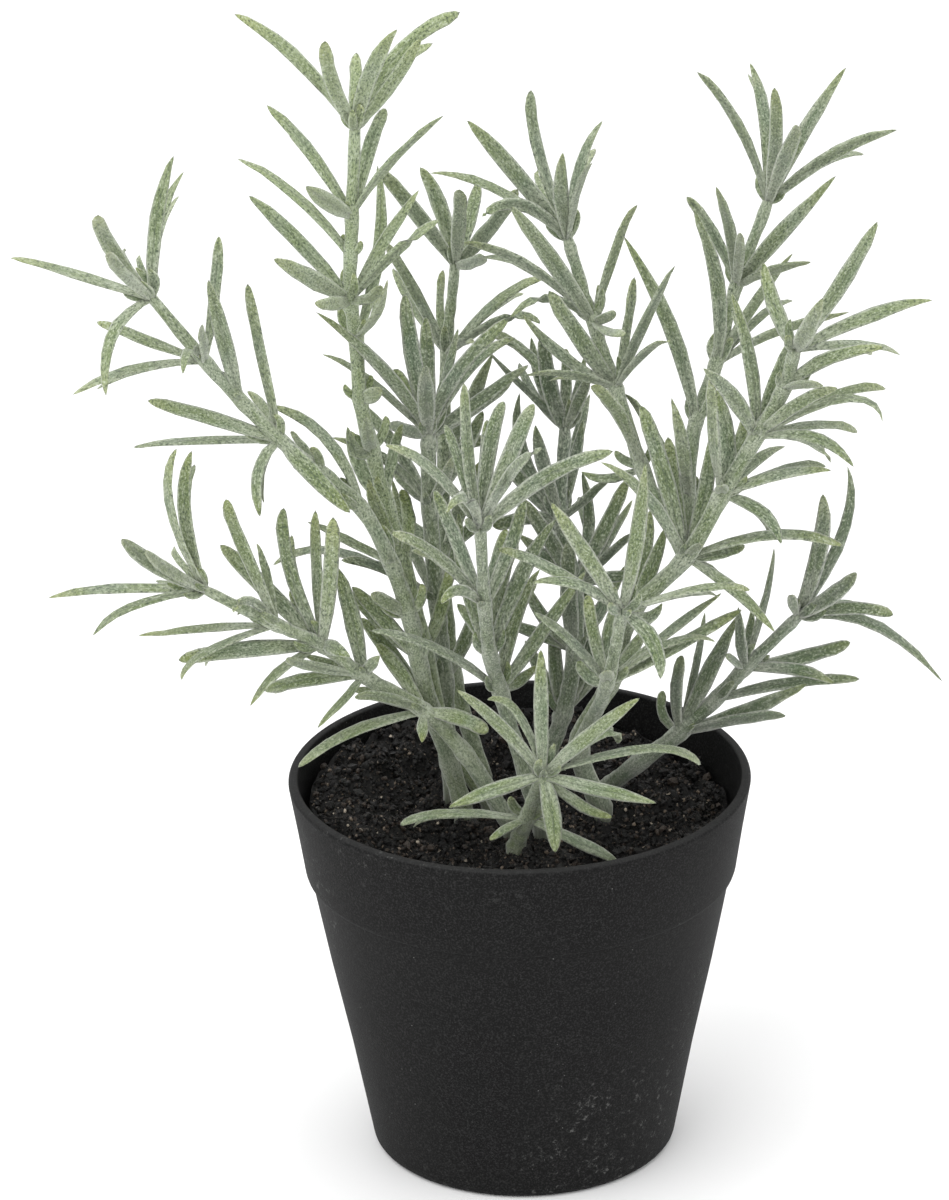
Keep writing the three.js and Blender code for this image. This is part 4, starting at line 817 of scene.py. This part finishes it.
# %% [markdown]
# ## Curves for stems and leaves
# A stem runs smoothly through its nodes, and a leaf is an arch through its root, middle
# and tip. Leaves of one branch may touch each other at their roots, but they keep clear of
# other branches, of the soil and of the rim: where there is no room, a leaf is tried a
# little further forward or back. Each whorl also has some leaves on its far side.

# %% The bends of stems and leaves
LEAF_WIDTH = 2.9
NARROWEST, WIDTH_PER_LENGTH = 1.2, 0.07
LEAF_THICKNESS = 0.36
LEAF_MIN_THICKNESS = 0.9


def unit(vectors):
    return vectors / np.linalg.norm(vectors, axis=-1, keepdims=True)


def arch(root, middle, tip):
    """The three pulls of an arch from the root to the tip through the middle."""
    return np.array([root, 2 * middle - 0.5 * root - 0.5 * tip, tip])


def along_arch(pulls, share):
    """Points of the arch at shares of the way from 0 to 1, and its slopes there."""
    share = np.asarray(share)[:, None]
    points = (1 - share) ** 2 * pulls[0] + 2 * (1 - share) * share * pulls[1]
    points = points + share ** 2 * pulls[2]
    slopes = (1 - share) * (pulls[1] - pulls[0]) + share * (pulls[2] - pulls[1])
    return points, unit(slopes)


def along_stem(nodes, share):
    """A point of the smooth line through the nodes, at a share of the way from 0 to 1."""
    spot = share * (len(nodes) - 1)
    span = min(int(spot), len(nodes) - 2)
    step = spot - span
    b, c = nodes[span], nodes[span + 1]
    a = nodes[span - 1] if span > 0 else 2 * b - c
    d = nodes[span + 2] if span + 2 < len(nodes) else 2 * c - b
    first, second, third = (math.sqrt(np.linalg.norm(q - p)) for p, q in ((a, b), (b, c), (c, d)))
    leave = ((b - a) / first - (c - a) / (first + second) + (c - b) / second) * second
    arrive = ((c - b) / second - (d - b) / (second + third) + (d - c) / third) * second
    return (b + leave * step + (3 * (c - b) - 2 * leave - arrive) * step ** 2
            + (2 * (b - c) + leave + arrive) * step ** 3)


def blade(pulls, seen, grow):
    """A leaf's arch, with the width that it has and how far it is turned to the front."""
    chord = pulls[2] - pulls[0]
    full = min(LEAF_WIDTH, NARROWEST + WIDTH_PER_LENGTH * np.linalg.norm(chord))
    width = max(seen, full)
    return {
        "pulls": pulls, "grow": grow, "width": width, "facing": min(1, seen / width),
        "thick": max(LEAF_MIN_THICKNESS, LEAF_THICKNESS * width),
        "hinge": unit(np.cross(chord, grow)),
    }


def blade_frame(leaf, shares):
    """Middle, side, upper normal and slope of the leaf at each share of its length."""
    centres, slopes = along_arch(leaf["pulls"], shares)
    flat = unit(np.cross(slopes, unit(centres - eye)))
    deep = np.cross(flat, slopes)
    lean = np.where((flat @ leaf["hinge"]) * (deep @ leaf["hinge"]) < 0, -1, 1)[:, None]
    side = flat * leaf["facing"] + deep * lean * math.sqrt(1 - leaf["facing"] ** 2)
    normal = np.cross(side, slopes)
    turn = np.where(normal @ leaf["grow"] < 0, -1, 1)[:, None]
    return centres, side * turn, normal * turn, slopes


print("bends ready")

# %% Room for each leaf
BACK_SHARE = 0.35
MOST_AT_BACK = 3
MOST_AT_TIP = 1
BACK_TRIES = 8
BACK_REACH = [0.7, 0.95]
BACK_DEPTH = [7, 12]
BACK_WIDTH = 0.8
MIDDLE_DEPTH = 0.55
DEPTH_STEPS = [0, 2.5, -2.5, 5, -5, 7.5, -7.5, 10, -10, 13, -13, 16, -16]
CLEARANCE = 0.3
SAMPLES = 16
TEST_FROM, TAKE_FROM = 0.1, 0.15
POINT_SPREAD, POINT_RADIUS, RADIUS_EXTRA = 0.66, 0.33, 0.2
STEM_SAMPLES = 64
OWN_ROOT = 0.35
OVER_POT = 1.8
WALL_ZONE = (-4.5, 2.5)
NEIGHBOURHOOD = 30
POINTS_AT_MOST = 20000
SEED = 4202

taken_points = np.zeros((POINTS_AT_MOST, 3))
taken_radius = np.zeros(POINTS_AT_MOST)
taken_branch = np.full(POINTS_AT_MOST, -1)
taken_count = 0


def draws(seed):
    """Repeatable random numbers from 0 to 1."""
    state = seed
    while True:
        state = state * 16807 % 2147483647
        yield state / 2147483647


def take(points, radii, branch):
    """Notes the balls that a leaf or stem fills."""
    global taken_count
    last = taken_count + len(points)
    taken_points[taken_count:last] = points
    taken_radius[taken_count:last] = radii
    taken_branch[taken_count:last] = branch
    taken_count = last


def footprint(leaf, start):
    """Points spread over a leaf, their radii, and how far along the leaf they lie."""
    shares = np.arange(SAMPLES + 1) / SAMPLES
    shares = shares[shares >= start]
    centres, side, _, _ = blade_frame(leaf, shares)
    taper = np.minimum(0.5 + 1.5 * shares, 3.2 * (1.08 - shares))
    half = 0.5 * leaf["width"] * np.minimum(1, taper)
    reach = (POINT_SPREAD * half)[:, None] * side
    points = np.stack([centres, centres + reach, centres - reach], axis=1).reshape(-1, 3)
    return points, np.repeat(POINT_RADIUS * half + RADIUS_EXTRA, 3), np.repeat(shares, 3)


def clears_pot(points):
    """Which points lie above the soil, or above or outside the wall and the rim."""
    x, y, z = points.T
    out = np.hypot(x, y)
    over_soil = z > soil_level(x, y) + OVER_POT
    over_rim = (z > POT_HEIGHT + OVER_POT) | (out > RIM_RADIUS + WALL_ZONE[1])
    return np.where(out < RIM_RADIUS + WALL_ZONE[0], over_soil, over_rim)


def has_room(leaf, branch, own_too):
    """Whether the leaf keeps clear of the pot and of all that is taken."""
    points, radii, shares = footprint(leaf, TEST_FROM)
    beyond_root = shares > OWN_ROOT
    if not clears_pot(points)[beyond_root].all():
        return False
    taken = slice(0, taken_count)
    near = (np.abs(taken_points[taken] - points.mean(0)) < NEIGHBOURHOOD).all(axis=1)
    others, other_radii = taken_points[taken][near], taken_radius[taken][near]
    own = taken_branch[taken][near] == branch
    gaps = np.linalg.norm(points[:, None] - others[None], axis=2)
    touching = gaps < radii[:, None] + other_radii[None] + CLEARANCE
    counted = ~own[None] | (own_too & beyond_root)[:, None]
    return not (touching & counted).any()


def leaf_through(node, middle, tip, depth, seen, grow):
    """The leaf from a node through a middle to a tip on the sheet, that far behind the node."""
    pulls = arch(place(*node), place(*middle, node[2] + MIDDLE_DEPTH * depth),
                 place(*tip, node[2] + depth))
    return blade(pulls, seen, grow)


def listed_leaf(row, node, grow, branch):
    """The listed leaf, or that leaf a little further forward or back, where there is room."""
    tip, behind, middle, seen = row[:2], row[2], row[3:5], row[5]
    for own_too in (True, False):
        for step in DEPTH_STEPS:
            leaf = leaf_through(node, middle, tip, behind + step, seen, grow)
            if has_room(leaf, branch, own_too):
                return leaf
    return None


def far_leaf(node, rows, grow, random, branch):
    """A leaf on the far side of a whorl, which hides behind a listed one."""
    for _ in range(BACK_TRIES):
        row = rows[int(len(rows) * next(random))]
        reach, depth = next(random), next(random)
        reach = (1 - reach) * BACK_REACH[0] + reach * BACK_REACH[1]
        depth = max(0, row[2]) + (1 - depth) * BACK_DEPTH[0] + depth * BACK_DEPTH[1]
        middle, tip = ([start + reach * (end - start) for start, end in zip(node, spot)]
                       for spot in (row[3:5], row[:2]))
        leaf = leaf_through(node, middle, tip, depth, BACK_WIDTH * row[5], grow)
        if has_room(leaf, branch, True):
            return leaf
    return None


print("room rules ready")

# %% The stems take their room first, and then every leaf finds its own
def stems_of(branch):
    """The nodes of the main stem and of its arms, from the foot up, and their radii."""
    nodes = [place(*whorl[0]) for whorl in branch["whorls"]]
    foot = np.array([*branch["foot"], SOIL_TOP + 2])
    stems = [(np.array([*nodes, foot])[::-1], branch["radii"])]
    for arm in branch.get("arms", []):
        arm_nodes = [place(*whorl[0]) for whorl in arm["whorls"]]
        stems.append((np.array([*arm_nodes, nodes[arm["joins"]]])[::-1], arm["radii"]))
    return stems


def growths(whorls):
    """The direction in which the stem grows at each of its whorls."""
    nodes = [place(*node) for node, _ in whorls]
    nodes = [nodes[0], *nodes, nodes[-1]]
    return [unit(above - below) for above, below in zip(nodes, nodes[2:])]


def whorls_of(branch):
    """Every whorl of the branch: its node, leaves and growth, and whether it is at a tip."""
    lists = [branch["whorls"], *(arm["whorls"] for arm in branch.get("arms", []))]
    return [(node, rows, grow, number == 0) for whorls in lists
            for number, ((node, rows), grow) in enumerate(zip(whorls, growths(whorls)))]


def keep(found, leaf, number):
    """Adds the leaf, if there is one, and takes its room."""
    if leaf:
        found.append(leaf)
        take(*footprint(leaf, TAKE_FROM)[:2], number)


for number, branch in enumerate(BRANCHES):
    for nodes, radii in stems_of(branch):
        line = [along_stem(nodes, i / STEM_SAMPLES) for i in range(STEM_SAMPLES + 1)]
        take(line, radii[1], number)

random = draws(SEED)
leaves_of = {}
for number, branch in enumerate(BRANCHES):
    found = leaves_of[branch["name"]] = []
    for node, rows, grow, _ in whorls_of(branch):
        for row in rows:
            keep(found, listed_leaf(row, node, grow, number), number)
    for node, rows, grow, at_tip in whorls_of(branch):
        most = MOST_AT_TIP if at_tip else MOST_AT_BACK
        for _ in range(min(most, math.floor(BACK_SHARE * len(rows) + 0.5))):
            keep(found, far_leaf(node, rows, grow, random, number), number)
print({name: len(leaves) for name, leaves in leaves_of.items()})

# %% [markdown]
# ## One leaf and one stem
# A lavender leaf is a narrow blade whose edges are rolled under, so from above it is a
# rounded strip with a shallow groove, and from below two fat rolls with a dark furrow
# between them. It is drawn out of a ring of eight points: extruded ring by ring, each ring
# scaled to the leaf's width there, and closed to a point. The same is done with a round
# ring for a stem. Both stay small, because they are copied hundreds of times.

# %% The leaf: eight points extruded along the blade
LEAF_SECTION = [(1, -0.1), (0.6, 0.62), (0, 0.12), (-0.6, 0.62), (-1, -0.1), (-0.62, -0.8),
                (0, 0.0), (0.62, -0.8)]
LEAF_RINGS = [(0, 0.5), (0.1, 0.66), (0.24, 0.88), (0.4, 1.0), (0.55, 0.99), (0.69, 0.86),
              (0.81, 0.65), (0.91, 0.39), (0.97, 0.18)]


def start_ring(name, sides):
    """A filled ring of points of radius 1 that looks along the x axis."""
    return start_piece(name, bpy.ops.mesh.primitive_circle_add, vertices=sides, radius=1,
                       fill_type="NGON", rotation=(0, math.pi / 2, 0))


def draw_out(length):
    """Extrudes the selected end of a model by that much of its length."""
    bpy.ops.mesh.extrude_region_move(TRANSFORM_OT_translate={"value": (length, 0, 0)})


def close_to_point(model):
    """Draws the end together and returns the model's points and faces."""
    bpy.ops.mesh.merge(type="CENTER")
    bpy.ops.mesh.select_all(action="SELECT")
    bpy.ops.mesh.quads_convert_to_tris()
    close_piece()
    return mesh_arrays(model)


leaf_model = start_ring("leaf_model", len(LEAF_SECTION))
with by_hand():
    bpy.ops.object.transform_apply(rotation=True)
    for vertex, (side, up) in zip(leaf_model.data.vertices, LEAF_SECTION):
        vertex.co = (0, side * LEAF_RINGS[0][1], up * LEAF_RINGS[0][1])
bpy.ops.mesh.select_all(action="SELECT")
for (here, wide), (ahead, wider) in zip(LEAF_RINGS, LEAF_RINGS[1:]):
    draw_out(ahead - here)
    scale = wider / wide
    bpy.ops.transform.resize(value=(1, scale, scale), center_override=(ahead, 0, 0))
draw_out(1 - ahead)
leaf_points, leaf_faces = close_to_point(leaf_model)
print("leaf model:", len(leaf_points), "points", np.round(leaf_points.min(0), 2),
      np.round(leaf_points.max(0), 2))

# %% The stem: ten points extruded ring by ring
STEM_SIDES = 10
STEM_RINGS = 44

stem_model = start_ring("stem_model", STEM_SIDES)
bpy.ops.mesh.select_all(action="SELECT")
for _ in range(STEM_RINGS + 1):
    draw_out(1 / (STEM_RINGS + 1))
stem_points, stem_faces = close_to_point(stem_model)
print("stem model:", len(stem_points), "points")

# %% [markdown]
# ## Bending the copies
# A copy is bent in code: the model's length runs along the curve, its sides along the
# curve's own side and upper direction. Small seeded differences keep the leaves from
# looking stamped: each has its own twist, its own blunt or sharp tip and a little unrest.
# Every point keeps six numbers for the finish: how far along the leaf it is, how near the
# edge, whether it is on the underside, the leaf's own tint, and its place across and along
# the blade in millimetres.

# %% A bent leaf and a bent stem
LEAF_TWIST = 0.16
LEAF_CURL = (-0.25, 0.35)
LEAF_UNREST = (2.6, 0.2)
STEM_UNREST = (1.6, 0.26)
UNREST_SEED = 5
ROOT_DEPTHS = (12, 4)
TIP_LENGTH = 1.2
NODE_SWELLING, NODE_REACH = 0.20, 2.4
END_RADIUS, FOOT_RADIUS = 0.75, 1.12


noise.seed_set(UNREST_SEED)


def unrest(points, size_mm, amount):
    """Pushes points about by smooth noise, the same way in every run."""
    push = [noise.noise_vector(Vector(point / size_mm)) for point in points]
    return points + amount * np.array(push)


def bent_leaf(leaf, random, blunt_most=1.7):
    """A copy of the leaf model on the leaf's arch, with a twist, a curl and a blunt tip."""
    shares = leaf_points[:, 0]
    centres, side, normal, slopes = blade_frame(leaf, shares)
    steady = blade_frame(leaf, np.array([0.4]))
    flip = np.where((side @ steady[1][0]) < 0, -1, 1)[:, None]
    side, normal = side * flip, normal * flip
    twist = random.normal(0, LEAF_TWIST) * (shares - 0.3)[:, None]
    side, normal = (side * np.cos(twist) + normal * np.sin(twist),
                    normal * np.cos(twist) - side * np.sin(twist))
    blunt = blunt_most * random.random() ** 2 * np.clip((shares - 0.6) / 0.37, 0, 1) ** 2
    half = 0.5 * leaf["width"] * (1 + blunt * (shares < 1))
    curl = random.normal(*LEAF_CURL) * np.clip((shares - 0.7) / 0.3, 0, 1) ** 2
    points = (centres + side * (leaf_points[:, 1] * half)[:, None]
              + normal * (leaf_points[:, 2] * 0.5 * leaf["thick"] + curl)[:, None])
    points = unrest(points, *LEAF_UNREST)
    marks = {
        "along": shares,
        "edge": np.clip(np.abs(leaf_points[:, 1]) / np.interp(shares, *zip(*LEAF_RINGS)), 0, 1),
        "under": (leaf_points[:, 2] < 0).astype(float),
        "tint": np.full(len(shares), random.random()),
        "wide": 0.5 * leaf["width"] * leaf_points[:, 1],
        "far": shares * np.linalg.norm(leaf["pulls"][2] - leaf["pulls"][0]),
    }
    return points, leaf_faces, marks


def bent_stem(nodes, radii, rooted, random):
    """A stem along its nodes, thicker at each of them, with a rounded end."""
    rings = np.round(stem_points[:, 0] * (STEM_RINGS + 1)).astype(int)
    shares = np.clip((np.arange(STEM_RINGS + 2) - 2) / (STEM_RINGS - 2), 0, 1)
    line = np.array([along_stem(nodes, share) for share in shares])
    slopes = unit(np.gradient(line[2:-1], axis=0))
    slopes = np.concatenate([slopes[:1], slopes[:1], slopes, slopes[-1:]])
    if rooted:
        line[:2] = [nodes[0] - np.array([0, 0, depth]) for depth in ROOT_DEPTHS]
    line[-1] = line[-2] + TIP_LENGTH * slopes[-1]
    side = unit(np.cross(slopes, [0, -1, 0]))
    front = np.cross(side, slopes)
    radius = radii[1] + (radii[0] - radii[1]) * shares
    gaps = np.linalg.norm(line[:, None] - nodes[None, 1:], axis=2)
    swelling = np.exp(-(gaps / NODE_REACH) ** 2).max(axis=1)
    radius = radius * (0.94 + NODE_SWELLING * swelling)
    radius[-2] *= END_RADIUS
    if rooted:
        radius[:4] *= FOOT_RADIUS
    around, out = stem_points[:, 1], stem_points[:, 2]
    points = line[rings] + radius[rings, None] * (side[rings] * around[:, None]
                                                  + front[rings] * out[:, None])
    points = unrest(points, *STEM_UNREST)
    node_gaps = gaps.min(axis=1)[rings]
    marks = {
        "along": 0.30 - 0.26 * np.exp(-(node_gaps / 2.2) ** 2),
        # Painted sheen: a stem's sides, as the camera sees them, get a higher edge number, so the
        # felt paints them paler along the outline.
        "edge": 0.30 + 0.6 * np.abs(around) ** 3,
        "under": np.zeros(len(points)),
        "tint": np.full(len(points), 0.5 * random.random()),
        "wide": radius[rings] * around,
        "far": shares[rings] * np.linalg.norm(np.diff(line, axis=0), axis=1).sum(),
    }
    return points, stem_faces, marks


print("bending ready")

# %% [markdown]
# ## Young leaves and felt
# In the axils, and at the tip of every stem, sit a few very small leaves that hug the
# stem. Over everything lies the felt: short hairs, far too many to model one by one, so
# the finish paints most of them and only some are made, as slim triangles that stand off
# the surface and soften the outline.

# %% Young leaves, and hairs from points on the surface
YOUNG_LEAVES = 2
TIP_LEAVES = 5
YOUNG_LENGTH = (4.0, 7.4)
YOUNG_LEAN = (0.3, 0.75)
HAIRS_PER_MM2 = 2.6
HAIR_LENGTH = (0.18, 0.52)
HAIR_WIDTH = (0.025, 0.055)
HAIR_LEAN = 0.75


def young_leaf(root, grow, length, lean, around):
    """A small leaf that rises from a node close to the stem."""
    across = unit(np.cross(grow, [0.3, -1, 0.2]))
    out = across * math.cos(around) + np.cross(grow, across) * math.sin(around)
    way = grow * math.cos(lean) + out * math.sin(lean)
    tip = root + length * way
    middle = root + 0.5 * length * way + 0.14 * length * out
    leaf = blade(arch(root, middle, tip), 0.5 + 0.24 * length, grow)
    leaf["width"] = 0.5 + 0.22 * length
    leaf["thick"] = 0.45 * leaf["width"]
    return leaf


def hairs_on(points, faces, marks, random):
    """Slim triangles on a surface, each with the marks of the point that it grows from."""
    corners = points[faces]
    normals = np.cross(corners[:, 1] - corners[:, 0], corners[:, 2] - corners[:, 0])
    areas = 0.5 * np.linalg.norm(normals, axis=1)
    count = int(HAIRS_PER_MM2 * areas.sum())
    chosen = random.choice(len(faces), size=count, p=areas / areas.sum())
    mix = random.dirichlet((1, 1, 1), size=count)
    roots = np.einsum("ni,nij->nj", mix, corners[chosen])
    lean = unit(random.normal(size=(count, 3)))
    ways = unit(unit(normals[chosen]) + HAIR_LEAN * lean)
    sides = unit(np.cross(ways, lean))
    long = random.uniform(*HAIR_LENGTH, size=(count, 1))
    wide = random.uniform(*HAIR_WIDTH, size=(count, 1))
    hairs = np.stack([roots - sides * wide, roots + sides * wide, roots + ways * long], axis=1)
    own = {name: np.repeat(values[faces[chosen, 0]], 3) for name, values in marks.items()}
    return hairs.reshape(-1, 3), np.arange(3 * count).reshape(-1, 3), own


def gather(parts):
    """Joins lists of points, faces and marks into one of each."""
    counts = np.cumsum([0] + [len(points) for points, _, _ in parts])
    points = np.concatenate([part[0] for part in parts])
    faces = np.concatenate([part[1] + count for part, count in zip(parts, counts)])
    marks = {name: np.concatenate([part[2][name] for part in parts]) for name in parts[0][2]}
    return points, faces, marks


print("young leaves and hairs ready")

# %% [markdown]
# ## Grey-green felt
# The green of the leaf shows through the felt in the middle of the blade. Towards the
# edges, the nodes and the underside the felt is thicker and almost white, and towards the
# tips it wears thin and the leaf turns yellow-green. Close up it is speckled, light and
# dark, a few tenths of a millimetre across. Light and shade are painted in as well: high
# leaves are painted a little lighter, as painted light on the top of the plant; the groove
# on top of a leaf and the furrow under it are painted darker, as painted shade; and the
# sides of a stem, as the camera sees them, are painted paler, as a painted sheen of the
# felt along its outline. Everything within a few millimetres of the soil is darker. Sheen
# gives the soft glow of short hair.

# %% The felt's finish
# Each layer has its share and its colour. In turn: the yellow tips, painted light on the
# high leaves, the dark and the light speckle, painted shade in the groove and in the furrow,
# the loose hairs and a darker band near the soil.
felt = Finish("grey_green_felt", Roughness=0.92, Sheen_Weight=0.35, Sheen_Roughness=0.6)
along, edge = felt.mark("along"), felt.mark("edge")
under, tint, warmth_and_light, fuzz = (felt.mark(name) for name in ("under", "tint", "warmth_and_light", "fuzz"))
blade_place = felt.node("ShaderNodeCombineXYZ", {}, {
    "X": felt.mark("wide") * MM, "Y": felt.mark("far") * MM, "Z": tint * 0.4})
speckle = felt.grain(0.15, detail=3, rough=0.75, stretch=(1, 0.5, 1), where=blade_place)
streak = felt.grain(0.34, detail=3, rough=0.6, stretch=(1, 0.16, 1), where=blade_place)
blotch = felt.grain(1.5, detail=2)
patch = felt.grain(7, detail=2)

green = felt.mix(tint, (0.066, 0.103, 0.044), (0.140, 0.184, 0.078))
green = felt.mix(warmth_and_light * 0.7, green, (0.192, 0.250, 0.080))
green = felt.mix(felt.step(patch, 0.48, 0.66, 0, 0.5), green, (0.095, 0.150, 0.105))
grey = felt.mix(tint, (0.256, 0.276, 0.226), (0.362, 0.378, 0.312))
grey = felt.mix(warmth_and_light * 0.5, grey, (0.345, 0.420, 0.235))

cover = felt.step(edge, 0.60, 1.0) * (0.86 - warmth_and_light * 0.42) + warmth_and_light * 0.08 + 0.12
cover = cover + felt.step(along, 0.0, 0.48, 0.70, 0.0)
cover = cover + (blotch - 0.5) * 0.6 + (patch - 0.5) * 0.8 + (streak - 0.5) * 2.2 + under * 0.12
coat = felt.mix(cover.least(1).most(0), green, grey)
height = felt.height()
rough = felt.step(height, 0.085, 0.125, 0.76, 1.04)
# Painted shade in the groove along the middle of the top of the darker leaves.
painted_groove_shade = felt.step(edge, 0.20, 0.04) * (1 - under) * felt.step(tint, 0.55, 0.35)
layers = [
    (felt.step(along, 0.62, 1.0, 0, 0.6) * (0.25 + tint * 0.75), (0.285, 0.318, 0.080)),
    # Painted light: leaves 125 to 180 mm up are painted lighter, more on warmer branches.
    (felt.step(height, 0.125, 0.180, 0, 0.10) * warmth_and_light, (0.530, 0.620, 0.420)),
    (felt.step(speckle, 0.50, 0.36, 0, 0.84) * rough, (0.028, 0.050, 0.025)),
    (felt.step(speckle, 0.52, 0.68, 0, 0.78) * rough, (0.495, 0.545, 0.425)),
    (painted_groove_shade * 0.45, (0.060, 0.082, 0.045)),
    # Painted shade in the furrow under the leaf, between its rolled edges.
    (under * felt.step(edge, 0.55, 0.05, 0, 0.7), (0.045, 0.060, 0.040)),
    (fuzz * 0.5, (0.440, 0.470, 0.390)),
    (felt.step(height, (SOIL_TOP + 6) * MM, (SOIL_TOP + 0.5) * MM, 0, 0.6),
     (0.055, 0.055, 0.040)),
]
for share, tone in layers:
    coat = felt.mix(share, coat, tone)
felt_material = felt.paint(
    Base_Color=coat,
    Normal=felt.bump(speckle, 0.14, felt.bump(blotch, 0.22)),
)
print("felt finished")

# %% Every branch is put together
FIRST_SEED = 500

for number, branch in enumerate(BRANCHES):
    random = np.random.default_rng(FIRST_SEED + number)
    parts = []
    for stem_number, (nodes, radii) in enumerate(stems_of(branch)):
        parts.append(bent_stem(nodes, radii, stem_number == 0, random))
    for leaf in leaves_of[branch["name"]]:
        parts.append(bent_leaf(leaf, random))
    for node, rows, grow, at_tip in whorls_of(branch):
        count = TIP_LEAVES if at_tip else YOUNG_LEAVES if rows else 0
        turn = random.uniform(0, math.tau)
        for step in range(count):
            around = turn + math.tau * step / count + random.normal(0, 0.3)
            small = young_leaf(place(*node), grow, random.uniform(*YOUNG_LENGTH),
                               random.uniform(*YOUNG_LEAN), around)
            parts.append(bent_leaf(small, random, 1.0))
    points, faces, marks = gather(parts)
    marks["fuzz"] = np.zeros(len(points))
    hairs = hairs_on(points, faces, marks, random)
    hairs[2]["fuzz"][:] = 1
    points, faces, marks = gather([(points, faces, marks), hairs])
    marks["warmth_and_light"] = np.full(len(points), branch["warmth_and_light"])
    # Painted shade and light: the tint is scaled by the branch's number, so the inner, back and
    # low branches get darker leaves and the tallest lighter ones.
    marks["tint"] *= 0.45 + 0.7 * branch["warmth_and_light"]
    piece = one_mesh(branch["name"] + "_felted", points, faces, marks, felt_material)
    hand_over(piece, "foliage", branch["name"])

# %% [markdown]
# ## Floor, light and camera
# The plant stands on a plain pale floor in a bright, even studio: a broad light from the
# upper left, a weaker one from the right, and a light sky all round that fills the
# shadows. The camera sits where the eye was when the branches were laid out, far away with
# a long lens, so that the pot's sides hardly converge.

# %% The floor
FLOOR_SIZE = 6

floor = start_piece("floor", bpy.ops.mesh.primitive_plane_add, size=FLOOR_SIZE)
close_piece()
paper = Finish("pale_floor", Roughness=0.9)
# The floor's tone varies at random between two pale greys.
floor_tone = paper.mix(paper.grain(120, detail=1), 0.86, 0.90)
floor.data.materials.append(paper.paint(Base_Color=floor_tone))
print("floor laid")

# %% The lights
SKY_STRENGTH = 0.88
PLANT_MIDDLE = Vector((0, 0, 0.12))

world = bpy.data.worlds.new("bright_room")
bpy.context.scene.world = world
world.use_nodes = True
sky = world.node_tree.nodes["Background"].inputs
sky["Color"].default_value = (1, 1, 1, 1)
sky["Strength"].default_value = SKY_STRENGTH


def area_light(name, position, size, power):
    """A square light that looks at the middle of the plant."""
    light = bpy.data.lights.new(name, "AREA")
    light.size = size
    light.energy = power
    lamp = add_object(name, light)
    lamp.location = position
    aim = PLANT_MIDDLE - lamp.location
    lamp.rotation_euler = aim.to_track_quat("-Z", "Y").to_euler()


area_light("window_left", (-1.0, -0.9, 1.5), 2.0, 25)
area_light("fill_right", (1.3, -0.9, 0.9), 1.4, 8)
area_light("top", (0.1, 0.5, 1.8), 1.4, 12)
print("three lights")

# %% The camera
SENSOR_HEIGHT = 36
FOCAL_LENGTH = 195

camera_data = bpy.data.cameras.new("camera")
camera_data.sensor_fit = "VERTICAL"
camera_data.sensor_height = SENSOR_HEIGHT
camera_data.lens = FOCAL_LENGTH
camera = add_object("camera", camera_data)
columns = np.stack([eye_right, eye_up, eye_back], axis=1)
camera.matrix_world = Matrix.Translation(Vector(eye * MM)) @ Matrix(columns.tolist()).to_4x4()
bpy.context.scene.camera = camera
bpy.context.scene.view_settings.view_transform = "Standard"
print("camera at", np.round(eye, 1), "mm")
